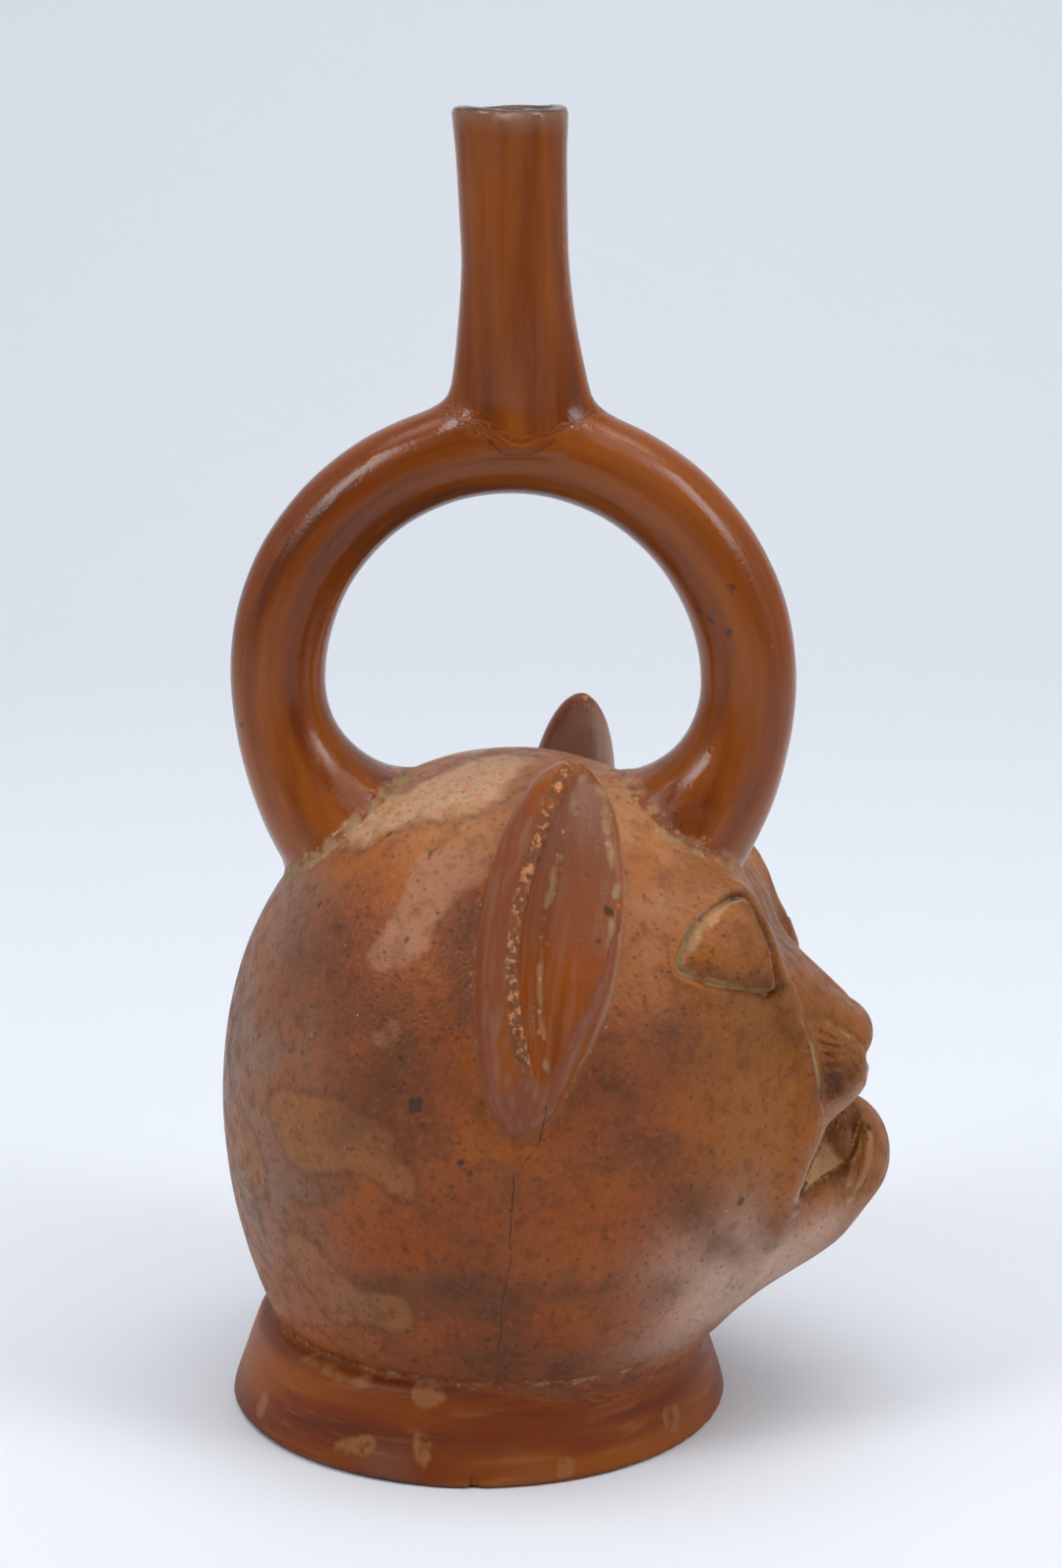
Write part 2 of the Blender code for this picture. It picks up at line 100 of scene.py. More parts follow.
def eggDistance(p, centre, half):
    return ovalDistance(p - np.array(centre, float), np.array(half, float))


def alongLine(p, name, first=0):
    # Distance to a line of the face, and the share of its length passed there.
    places = np.array(lines[name][first:], float)
    lengths = np.linalg.norm(np.diff(places, axis=0), axis=1)
    before = np.concatenate(([0.0], np.cumsum(lengths)))
    nearest = np.full(p.shape[:-1], 1e9)
    share = np.zeros(p.shape[:-1])
    for start, end, length, done in zip(places[:-1], places[1:], lengths, before):
        run = end - start
        t = np.clip(((p - start) @ run) / (run @ run), 0.0, 1.0)
        gap = np.linalg.norm(p - start - t[..., None] * run, axis=-1)
        share = np.where(gap < nearest, (done + t * length) / before[-1], share)
        nearest = np.minimum(gap, nearest)
    return nearest, share


def ends(share, first, last):
    # Fades a line out over the given shares at its two ends.
    return np.clip(share / first, 0.0, 1.0) * np.clip((1.0 - share) / last, 0.0, 1.0)


def rounded(corners, times=2):
    # Corners of an outline cut off again and again, so that it runs smooth.
    corners = np.array(corners, float)
    for _ in range(times):
        after = np.roll(corners, -1, axis=0)
        cut = np.stack((corners * 0.75 + after * 0.25, corners * 0.25 + after * 0.75), axis=1)
        corners = cut.reshape(-1, 2)
    return corners


def outline(u, v, corners):
    # Distance to a flat outline, negative inside it.
    nearest = np.full(u.shape, 1e9)
    inside = np.zeros(u.shape, bool)
    for (ax, ay), (bx, by) in zip(corners, np.roll(corners, -1, axis=0)):
        ex, ey = bx - ax, by - ay
        t = np.clip(((u - ax) * ex + (v - ay) * ey) / (ex * ex + ey * ey), 0.0, 1.0)
        nearest = np.minimum(nearest, np.hypot(u - ax - t * ex, v - ay - t * ey))
        inside ^= ((ay > v) != (by > v)) & (u < (bx - ax) * (v - ay) / (by - ay + 1e-12) + ax)
    return np.where(inside, -nearest, nearest)


skull = {
    "centre": (7.0, 0.0, 72.0),
    "front": 62.0,
    "back": 64.5,
    "halfWidth": 60.5,
    "rise": 73.5,
    "drop": 96.0,
    "squeezeSide": 0.18,
    "squeezeFront": 0.50,
}
# name: place, half-sizes, softness
masses = {
    "cheeks": ((38.0, 13.3, 64.65), (31.0, 25.4, 36.75), 18.1),
    "muzzle": ((60.3, 0.0, 78.6), (21.1, 21.8, 16.2), 12.1),
    "jaw": ((60.6, 0.0, 45.9), (21.7, 24.2, 12.2), 13.3),
    "lowerLip": ((77.7, 0.0, 56.7), (11.0, 15.1, 12.9), 4.2),
    "brow": ((46.4, 20.0, 105.8), (12.0, 13.3, 16.2), 13.3),
}
nose = {
    "root": (54.6, 0.0, 99.7),
    "tip": (76.6, 0.0, 83.9),
    "rootHalfWidth": 22.0,
    "tipHalfWidth": 11.5,
    "rootDepth": 9.0,
    "tipDepth": 7.2,
    "end": 7.5,
    "squareness": 2.6,
}
# lines on the face, as places that they pass
lines = {
    "brow": [(54.6, 23.5, 122.0), (57.8, 24.5, 115.5), (60.2, 25.5, 108.3), (62.8, 25.8, 101.8)],
    "cheek": [(62.8, 25.8, 101.8), (65.5, 25.0, 96.5), (68.2, 24.2, 89.0), (69.6, 25.0, 82.0),
              (69.8, 26.4, 75.0), (68.4, 28.4, 67.0), (65.6, 30.8, 57.0), (62.5, 32.0, 47.7),
              (57.4, 32.0, 38.9)],
    "crease": [(67.3, 25.2, 96.3), (69.5, 24.6, 92.0), (71.0, 24.9, 88.3), (71.8, 25.6, 83.2),
               (72.2, 26.0, 78.2), (72.6, 25.8, 74.0)],
    "noseEdge": [(67.3, 24.5, 96.3), (71.2, 17.5, 92.4), (74.7, 13.6, 90.2), (77.9, 11.8, 88.2),
                 (80.1, 11.6, 86.4), (81.8, 11.2, 84.6), (83.2, 9.1, 81.7)],
    "lip": [(81.2, 0.0, 75.6), (80.4, 7.0, 75.2), (77.4, 14.6, 73.2), (74.2, 20.5, 71.3), (71.8, 25.0, 66.0),
            (67.3, 30.0, 55.6)],
    "canineFront": [(82.8, 6.5, 71.0), (83.6, 9.7, 64.3), (83.0, 12.6, 59.4), (81.9, 13.8, 56.0),
                    (80.4, 14.2, 52.9), (79.3, 14.1, 50.1)],
    "canineBack": [(80.5, 9.5, 71.0), (80.9, 11.4, 64.4), (80.3, 13.4, 61.9), (79.5, 14.6, 59.0),
                   (79.3, 14.6, 54.0)],
    "toothGap": [(76.9, 17.0, 69.0), (77.4, 15.0, 65.3), (76.9, 15.0, 63.5), (77.7, 15.0, 61.2),
                 (77.5, 15.3, 59.0)],
    "mouthFloor": [(66.6, 32.4, 55.2), (69.5, 27.5, 55.2), (73.3, 20.0, 55.2), (76.8, 16.0, 56.5),
                   (79.7, 14.8, 58.4)],
    "noseNotch": [(79.1, -8.0, 89.6), (79.6, 0.0, 90.8), (79.1, 8.0, 89.6)],
}
# outlines seen from the side, as reach and height
mouthOutline = rounded([(82.4, 74.0), (76.5, 72.6), (73.1, 71.0), (71.4, 67.6), (69.2, 63.5), (66.0, 54.6),
                        (73.3, 54.6), (79.7, 58.0), (82.2, 62.1), (83.2, 67.3)], 1)
toothOutline = rounded([(67.0, 55.6), (69.7, 60.6), (73.0, 64.4), (75.2, 62.8), (76.8, 60.0), (78.6, 58.6),
                        (75.3, 56.2), (70.6, 55.6)], 1)
muzzleOutline = rounded([(68.0, 94.5), (74.5, 90.0), (80.5, 86.0), (83.4, 82.0), (82.4, 79.5), (79.0, 77.0),
                         (76.0, 74.0), (72.6, 73.0), (71.8, 80.0), (70.8, 88.0)], 1)
eye = {
    "centre": (54.5, 32.5, 110.5),
    "outward": (0.62, 0.72, 0.30),
    "forward": (22.0, -13.5, -8.0),
    "outline": rounded([(-14.2, -5.2), (-13.0, -1.0), (-11.8, 2.4), (-9.2, 5.9), (-5.8, 8.9), (-1.5, 11.8),
                        (1.8, 13.0), (3.6, 10.6), (5.4, 6.6), (7.4, 3.3), (9.4, -0.1), (10.5, -3.5),
                        (11.2, -6.9), (5.9, -6.8), (-1.0, -7.3), (-6.9, -7.2), (-10.7, -6.2)]),
    "dome": 2.9,
    "domeSizes": (13.5, 11.5),
    "groove": 1.0,
    "grooveWidth": 0.75,
    "rim": 0.42,
}
ear = {
    "tip": (21.5, 30.0, 150.0),
    "low": (12.5, 57.5, 78.0),
    "outward": (-0.45, 0.88, 0.36),
    "leaf": (14.0, 14.5),
    "leafShift": (3.0, -0.5),
    "frontSpread": 0.8,
    "farSlim": 0.27,
    "lowSlim": 0.18,
    # how far forward the crest lies and how deep the hollow is beside it, along the ear from low to tip
    "crest": ((-38.0, 5.8), (-31.0, 5.6), (-24.0, 4.2), (-15.0, 2.5), (-6.0, 1.0), (3.0, 0.3), (13.0, 0.9),
              (23.0, 1.9), (32.0, 2.3), (38.0, 2.0)),
    "depth": ((-38.0, 0.0), (-34.0, 1.2), (-26.0, 3.4), (-15.0, 5.2), (0.0, 6.2), (15.0, 5.4), (25.0, 4.0),
              (33.0, 2.4), (38.0, 0.5)),
    "frontForward": ((-38.0, 4.0), (-34.5, 6.0), (-26.3, 9.6), (-15.3, 12.0), (-5.8, 13.3), (4.2, 13.9),
                     (14.7, 12.9), (33.5, 6.8), (38.0, 4.0)),
    "frontOut": ((-38.0, 3.6), (-34.5, 4.1), (-26.3, 6.4), (-15.3, 7.2), (-5.8, 6.2), (4.2, 3.8),
                 (14.7, 1.6), (33.5, 2.6), (38.0, 2.5)),
    "bead": ((-28.0, -1.0), (-20.6, -3.3), (-10.2, -5.5), (-0.2, -6.2), (10.1, -5.7), (24.0, -4.0)),
    "softness": 1.3,
}
handle = {"centre": (6.0, 0.0, 161.0), "radius": 50.3, "tube": 10.1, "bore": 5.6, "swell": 0.40,
          "swellAngle": 32.0, "drawIn": 0.04}
spout = {"base": 211.3, "reach": 8.2, "lean": 0.037, "length": 70.3, "waist": 40.0, "wall": 3.5}
foot = {"liftAt": 2.35, "notch": (0.6, 54.6, 0.6), "notchSizes": (0.8, 2.4, 2.3), "reach": -1.65,
        "radius": 55.0, "narrowing": 6.6, "height": 20.0, "wall": 6.0, "recess": 14.5}
chamberWall = 5.0


def headForm(p, detailed=True):
    # Head without ears. p has its side turned positive.
    q = p - np.array(skull["centre"])
    below = np.clip(-q[..., 2] / skull["drop"], 0.0, 1.0) ** 2
    front = skull["front"] * (1.0 - skull["squeezeFront"] * below)
    half = np.stack((np.where(q[..., 0] > 0.0, front, skull["back"]),
                     skull["halfWidth"] * (1.0 - skull["squeezeSide"] * below),
                     np.where(q[..., 2] > 0.0, skull["rise"], skull["drop"])), axis=-1)
    d = ovalDistance(q, half)
    for name, (place, sizes, softness) in masses.items():
        if detailed or name in ("cheeks", "muzzle", "jaw"):
            d = melt(d, eggDistance(p, place, sizes), softness)
    return d


def noseForm(p):
    root = np.array(nose["root"])
    run = np.array(nose["tip"]) - root
    length = np.linalg.norm(run)
    down = run / length
    up = np.array((-down[2], 0.0, down[0]))
    passed = (p - root) @ down
    t = np.clip(passed / length, 0.0, 1.0)
    sides = np.stack((p[..., 1] / (nose["rootHalfWidth"] + t * (nose["tipHalfWidth"] - nose["rootHalfWidth"])),
                      ((p - root) @ up) / (nose["rootDepth"] + t * (nose["tipDepth"] - nose["rootDepth"])),
                      (passed - t * length) / nose["end"]), axis=-1)
    power = nose["squareness"]
    return ((np.abs(sides) ** power).sum(axis=-1) ** (1.0 / power) - 1.0) * nose["tipDepth"]


def eyeFrame():
    outward = unit(eye["outward"])
    forward = np.array(eye["forward"])
    forward = unit(forward - outward * (forward @ outward))
    up = np.cross(outward, forward)
    return forward, up if up[2] > 0.0 else -up, outward


def earFrame():
    tip, low = np.array(ear["tip"]), np.array(ear["low"])
    along = unit(tip - low)
    outward = np.array(ear["outward"])
    outward = unit(outward - along * (outward @ along))
    forward = np.cross(outward, along)
    forward = forward if forward[0] > 0.0 else -forward
    return (tip + low) / 2.0, np.linalg.norm(tip - low) / 2.0, along, outward, forward


def eyeOutline(p):
    forward, up, outward = eyeFrame()
    q = p - np.array(eye["centre"])
    near = np.abs(q @ outward) < 14.0
    return np.where(near, outline(q @ forward, q @ up, eye["outline"]), 50.0), q @ forward, q @ up


def faceForm(p):
    # Head, with the lines and hollows of the face worked out only near the face.
    d = headForm(p)
    near = (p[:, 0] > 40.0) & (p[:, 2] > 30.0) & (p[:, 2] < 130.0) & (d < 16.0) & (d > -9.0)
    d[near] = carvedFace(p[near], d[near])
    return d


def carvedFace(p, d):
    d = melt(d, noseForm(p), 3.0)
    gap, t = alongLine(p, "brow")
    d = melt(d, gap - 2.0 * ends(t, 0.5, 0.01), 6.5)
    gap, t = alongLine(p, "cheek")
    d = melt(d, gap - 2.3 * ends(t, 0.02, 0.55), 6.5)
    d = melt(d, eggDistance(p, (76.0, 13.0, 80.0), (6.5, 7.0, 6.0)), 4.0)
    d = melt(d, eggDistance(p, (75.6, 18.6, 82.6), (3.2, 2.6, 2.6)), 2.0)
    gap, t = alongLine(p, "crease")
    d += 1.6 * bell(gap, 1.0) * ends(t, 0.12, 0.10)
    edge, t = alongLine(p, "noseEdge")
    d += 1.7 * bell(edge, 1.0) * ends(t, 0.10, 0.12)
    gap, t = alongLine(p, "noseNotch")
    d += 0.45 * bell(gap, 0.8) * ends(t, 0.2, 0.2)
    # fine folds on the muzzle, side by side with the nose's edge
    patch = smooth(-(outline(p[:, 0], p[:, 2], muzzleOutline) + 0.6) / 2.0)
    d += 0.36 * np.sin(edge * 2.6 + 0.7 * np.sin(p[:, 0] * 0.9)) * patch
    gap, t = alongLine(p, "lip")
    d = melt(d, gap - (2.8 - 0.9 * t), 1.3)
    inMouth = outline(p[:, 0], p[:, 2], mouthOutline)
    beside = smooth((p[:, 1] - 4.0) / 5.0)
    behindLip = 1.0 - smooth((p[:, 0] - 79.5) / 3.0)
    depth = 2.2 * smooth(-inMouth / 1.5) * beside * behindLip
    tooth = outline(p[:, 0], p[:, 2], toothOutline)
    depth -= 1.6 * smooth(-tooth / 1.0) * beside
    gap, t = alongLine(p, "toothGap")
    depth += 1.1 * bell(gap, 0.75) * ends(t, 0.1, 0.1)
    gap, t = alongLine(p, "mouthFloor")
    depth += 1.3 * bell(gap, 0.8) * ends(t, 0.05, 0.15)
    d += depth
    front, t = alongLine(p, "canineFront")
    back, u = alongLine(p, "canineBack")
    between = bell(front - back, 1.4) * (front + back < 5.0) * ends(t, 0.05, 0.15)
    d += 0.8 * between
    d -= 1.15 * bell(front, 0.75) * ends(t, 0.08, 0.2)
    d -= 1.0 * bell(back, 0.7) * ends(u, 0.08, 0.3)
    s, u, v = eyeOutline(p)
    half = eye["domeSizes"]
    middle = np.clip(1.0 - (u / half[0]) ** 2 - ((v - 1.6) / half[1]) ** 2, 0.0, 1.0)
    dome = eye["dome"] * middle**0.6 * smooth(-(s + 0.2) / 3.2)
    groove = eye["groove"] * bell(s + 0.3, eye["grooveWidth"])
    rim = eye["rim"] * bell(s - 1.5, 1.0)
    return d - (dome - groove + rim)


def earPlaces(p, far):
    # Places along, outward and forward of the ear's middle. The far ear is slimmer toward its tip.
    middle, halfLength, along, outward, forward = earFrame()
    q = p - middle
    a, o, f = q @ along, q @ outward, q @ forward
    slim = np.where(far, 1.0 - ear["farSlim"] * smooth((a + 5.0) / 25.0), 1.0)
    return a, ear["leafShift"][0] + (o - ear["leafShift"][0]) / slim, f / slim, halfLength


def earForm(p, far=False):
    # The ear's leaf, and the hollow in its outer side from the crest to the front edge.
    a, o, f, halfLength = earPlaces(p, far)
    outSize, backSize = ear["leaf"]
    outShift, forwardShift = ear["leafShift"]
    frontSize = backSize + ear["frontSpread"] * smooth((a + 16.0) / 30.0)
    frontSize *= 1.0 - ear["lowSlim"] * smooth((-a - 5.0) / 25.0)
    ahead = f - forwardShift
    sizes = np.stack((np.full(a.shape, halfLength), np.full(a.shape, outSize),
                      np.where(ahead > 0.0, frontSize, backSize)), axis=-1)
    q = np.stack((a, o - outShift, ahead), axis=-1)
    leaf = ovalDistance(q, sizes)
    beadAt = np.interp(a, *zip(*ear["bead"]))
    bead = 0.35 * bell(f - beadAt, 1.3) * (o > 8.0)
    leaf -= bead * smooth((a + 32.0) / 12.0) * smooth((26.0 - a) / 12.0)
    crest = np.interp(a, *zip(*ear["crest"]))
    depth = np.interp(a, *zip(*ear["depth"]))
    left = 1.0 - (a / halfLength) ** 2 - ((crest - forwardShift) / frontSize) ** 2
    floorOut = outShift + outSize * np.sqrt(np.maximum(left, 0.03)) - depth
    frontForward = np.interp(a, *zip(*ear["frontForward"]))
    frontOut = np.interp(a, *zip(*ear["frontOut"]))
    fall = (floorOut - frontOut) / np.maximum(frontForward - crest, 1.5)
    floorOut -= fall * (f - crest)
    return leaf, cutAway((floorOut - o) / np.sqrt(1.0 + fall**2), f - crest, 2.0)


def handleForm(p, tube, swell):
    q = p - np.array(handle["centre"])
    drop = np.degrees(np.arctan2(-q[..., 2], np.abs(q[..., 0])))
    ramp = np.clip(drop / handle["swellAngle"], 0.0, 1.25) ** 2
    radius = handle["radius"] * (1.0 - handle["drawIn"] * ramp)
    return np.hypot(np.hypot(q[..., 0], q[..., 2]) - radius, q[..., 1]) - tube * (1.0 + swell * ramp)


def spoutForm(p):
    # Spout's outer side, its bore and the height over the handle.
    s = p[..., 2] - spout["base"]
    x = p[..., 0] - (spout["reach"] - spout["lean"] * s)
    up = np.clip((s - spout["waist"]) / 30.0, 0.0, 1.2)
    down = np.clip((spout["waist"] - s) / 30.0, 0.0, 1.15)
    halfReach = 11.0 + 1.05 * up**1.5 + 4.2 * down**1.7
    halfSide = 11.0 + 1.05 * up**1.5 - 0.7 * down**2
    k = np.hypot(x / halfReach, p[..., 1] / halfSide)
    wall = (k - 1.0) * np.minimum(halfReach, halfSide)
    inner = np.hypot(x, p[..., 1]) - (halfSide - spout["wall"] - 1.0 * down)
    # the rim isn't quite level
    around = np.arctan2(p[..., 1], x)
    top = spout["length"] - 0.45 + 0.22 * np.sin(2.0 * around + 0.6) + 0.12 * np.sin(5.0 * around)
    return np.maximum(wall, 0.5 - s), inner, s - top


def footForm(p):
    z = p[..., 2]
    r = np.hypot(p[..., 0] - foot["reach"], p[..., 1])
    radius = foot["radius"] - foot["narrowing"] * np.clip(z / foot["height"], 0.0, 1.2) ** 1.15
    around = np.arctan2(p[..., 1], p[..., 0] - foot["reach"])
    lift = 0.05 + 0.4 * smooth((np.cos(around - foot["liftAt"]) - 0.75) / 0.2)
    body = cutAway(r - radius, z - lift, 1.6)
    body = cutAway(body, foot["height"] - z, 2.5)
    recess = np.maximum(r - (radius - foot["wall"]), z - foot["recess"])
    return body, recess


def wobble(p):
    # Slight unevenness of clay shaped by hand.
    reach, side, height = p[:, 0], p[:, 1], p[:, 2]
    slow = np.sin(reach * 0.083 + 1.7 * np.sin(height * 0.041)) * np.sin(side * 0.071 + 0.9)
    slow += np.sin(height * 0.097 + side * 0.05)
    quick = np.sin(reach * 0.31 + 0.8) * np.sin(height * 0.27 + 1.1 * np.sin(side * 0.19))
    return (0.16 * slow + 0.05 * quick) * smooth((height - 2.0) / 8.0) * smooth((279.0 - height) / 8.0)


def vesselForm(points):
    # Near distance in millimetres from points to the clay of the whole vessel.
    p = points.copy()
    p[..., 1] = np.abs(p[..., 1])
    d = faceForm(p)
    d = cutAway(d, p[..., 2] - 15.0, 1.0)
    far = points[..., 1] > 0.0
    leaf, scoop = earForm(p, far)
    d = melt(d, cutAway(leaf, scoop, 1.0), ear["softness"])
    body, recess = footForm(p)
    body = np.where(far, body, cutAway(body, eggDistance(p, foot["notch"], foot["notchSizes"]), 0.6))
    neck = bell(p[..., 2] - foot["height"] - 0.6, 1.1)
    neck *= bell(np.minimum(d, 0.0) + np.minimum(body, 0.0), 4.0)
    d = melt(d, body, 1.6) + 0.55 * neck
    wall, bore, over = spoutForm(points)
    arm = melt(handleForm(p, handle["tube"], handle["swell"]), cutAway(wall, -over, 1.4), 4.0)
    d = melt(d, arm, 3.0)
    chamber = headForm(p, False) + chamberWall
    chamber = np.maximum(chamber, foot["height"] - p[..., 2])
    hollow = np.minimum(chamber, handleForm(p, handle["bore"], 0.0))
    hollow = np.minimum(hollow, np.maximum(bore, spout["base"] - p[..., 2]))
    hollow = np.where(over > -3.0, np.minimum(hollow, bore), hollow)
    d += wobble(points)
    d = cutAway(d, recess, 0.6)
    return cutAway(d, hollow, 1.2)


def slope(points, form, step=0.12):
    # Direction in which the distance grows fastest.
    out = np.zeros(points.shape)
    for i in range(3):
        shift = np.zeros(3)
        shift[i] = step
        out[:, i] = (form(points + shift) - form(points - shift)) / (2.0 * step)
    return out


def settle(points, form, rounds, most):
    # Moves points onto the form's skin, each round by no more than most.
    for _ in range(rounds):
        d = form(points)
        g = slope(points, form)
        move = d / np.maximum((g * g).sum(axis=1), 0.15)
        points = points - g * np.clip(move, -most, most)[:, None]
    return points


def toVessel(v):
    return np.stack((footShift - v[:, 1] * 1000.0, v[:, 0] * 1000.0, v[:, 2] * 1000.0), axis=1)


def toScene(p):
    return np.stack((p[:, 1], footShift - p[:, 0], p[:, 2]), axis=1) / 1000.0


def readPlaces(mesh):
    flat = np.empty(len(mesh.vertices) * 3)
    mesh.vertices.foreach_get("co", flat)
    return flat.reshape(-1, 3)


def addObject(name, data):
    thing = bpy.data.objects.new(name, data)
    bpy.context.scene.collection.objects.link(thing)
    return thing


def netSkin(form, low, high, cell):
    # Closed skin round a form, with one point in each grid cell that its surface passes through.
    counts = [int(math.ceil((end - start) / cell)) + 1 for start, end in zip(low, high)]
    steps = [start + cell * np.arange(count) for start, count in zip(low, counts)]
    grid = np.stack(np.meshgrid(*steps, indexing="ij"), axis=-1).reshape(-1, 3)
    d = np.concatenate([form(part) for part in np.array_split(grid, 16)]).reshape(counts)
    total = np.zeros([count - 1 for count in counts] + [3])
    hits = np.zeros([count - 1 for count in counts])
    crossings = []
    for axis in range(3):
        before, after = [slice(None)] * 3, [slice(None)] * 3
        before[axis], after[axis] = slice(None, -1), slice(1, None)
        a, b = d[tuple(before)], d[tuple(after)]
        cross = (a < 0.0) != (b < 0.0)
        place = np.moveaxis(np.indices(a.shape).astype(float), 0, -1)
        place[..., axis] += np.where(cross, a / np.where(cross, a - b, 1.0), 0.0)
        others = [i for i in range(3) if i != axis]
        crossings.append((axis, others, cross, a < 0.0))
        for shift in ((0, 0), (0, 1), (1, 0), (1, 1)):
            part = [slice(None)] * 3
            for other, by in zip(others, shift):
                part[other] = slice(by, counts[other] - 1 + by)
            hit = cross[tuple(part)]
            total += np.where(hit[..., None], place[tuple(part)], 0.0)
            hits += hit
    mixed = hits > 0
    number = np.full(hits.shape, -1)
    number[mixed] = np.arange(mixed.sum())
    places = np.array(low) + cell * total[mixed] / hits[mixed][:, None]
    faces = []
    for axis, others, cross, inside in crossings:
        at = np.argwhere(cross)
        flip = inside[tuple(at.T)] == (axis == 1)
        corners = []
        for shift in ((1, 1), (0, 1), (0, 0), (1, 0)):
            cellAt = at.copy()
            cellAt[:, others[0]] -= shift[0]
            cellAt[:, others[1]] -= shift[1]
            corners.append(number[tuple(cellAt.T)])
        quads = np.stack(corners, axis=1)
        faces.append(np.where(flip[:, None], quads[:, ::-1], quads))
    return places, np.concatenate(faces)


fineness = {
    "cell": 2.0,
    "levels": ((1, 2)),
    "faceReach": 52.0,
    "eyeMargin": 3.0,
}


def fineRegion(p, level):
    # Where the skin is cut finer: level 1 the face, ears and rim, level 2 the eyes and mouth.
    q = p.copy()
    q[:, 1] = np.abs(q[:, 1])
    outside = headForm(q, False) > -1.5
    s = eyeOutline(q)[0]
    lip = alongLine(q, "lip")[0]
    edge = np.minimum(alongLine(q, "noseEdge")[0], alongLine(q, "crease")[0])
    inMouth = outline(q[:, 0], q[:, 2], mouthOutline)
    if level == 1:
        leaf, scoop = earForm(q, p[:, 1] > 0.0)
        onEar = (leaf < 2.0) & (headForm(q) > -0.5) & (q[:, 0] < 45.0)
        rim = (q[:, 2] > spout["base"] + spout["length"] - 2.5)
        onFace = (q[:, 0] > fineness["faceReach"]) & (q[:, 2] > 36.0) & (q[:, 2] < 126.0) & (q[:, 1] < 46.0)
        fromFoot = np.hypot(q[:, 0] - foot["reach"], q[:, 1])
        footEdge = (q[:, 2] < 4.0) & (fromFoot > foot["radius"] - 4.0)
        neck = (np.abs(q[:, 2] - foot["height"] - 0.6) < 3.6) & (fromFoot > 42.0)
        return (outside & (onEar | rim | onFace | (s < 6.0))) | footEdge | neck
    fine = (np.abs(s) < fineness["eyeMargin"]) | (lip < 3.5) | (edge < 2.5)
    return outside & (fine | ((inMouth < 1.5) & (q[:, 0] > 60.0) & (q[:, 1] < 36.0)))


def makeVessel():
    # The whole vessel as one closed skin, cut finer where the clay is carved.
    cell = fineness["cell"]
    low = toVessel(np.array([cadLow, cadHigh])).min(axis=0) - 1.5 * cell
    high = toVessel(np.array([cadLow, cadHigh])).max(axis=0) + 1.5 * cell
    places, faces = netSkin(vesselForm, low, high, cell)
    mesh = bpy.data.meshes.new("vessel")
    skin = settle(places, vesselForm, 3, 0.8)
    mesh.from_pydata(toScene(skin).tolist(), [], faces.tolist())
    shape = bmesh.new()
    shape.from_mesh(mesh)
    # where two skins share an edge, the edge is drawn together
    shared = [edge for edge in shape.edges if len(edge.link_faces) > 2]
    bmesh.ops.collapse(shape, edges=shared)
    shape.to_mesh(mesh)
    shape.free()
    skin = toVessel(readPlaces(mesh))
    for level in fineness["levels"]:
        shape = bmesh.new()
        shape.from_mesh(mesh)
        chosen = fineRegion(skin, level)
        edges = [edge for edge in shape.edges if chosen[edge.verts[0].index] and chosen[edge.verts[1].index]]
        bmesh.ops.subdivide_edges(shape, edges=edges, cuts=1, use_grid_fill=True)
        bmesh.ops.triangulate(shape, faces=[face for face in shape.faces if len(face.verts) > 4])
        shape.to_mesh(mesh)
        print("open or doubled edges", sum(len(edge.link_faces) != 2 for edge in shape.edges))
        shape.free()
        skin = settle(toVessel(readPlaces(mesh)), vesselForm, 2, 0.6)
        mesh.vertices.foreach_set("co", toScene(skin).ravel())
    vessel = addObject("vessel", mesh)
    return vessel, skin


vessel, skin = makeVessel()
print("vessel skin", len(vessel.data.vertices), "points",
      sum(len(face.vertices) - 2 for face in vessel.data.polygons), "triangles")


def setSmooth(mesh, points):
    # Smooth shading with the form's own normals.
    mesh.shade_smooth()
    g = slope(points, vesselForm)
    length = np.linalg.norm(g, axis=1)
    g = np.stack((g[:, 1], -g[:, 0], g[:, 2]), axis=1) / np.maximum(length, 1e-9)[:, None]
    mesh.normals_split_custom_set_from_vertices(g.tolist())


setSmooth(vessel.data, skin)

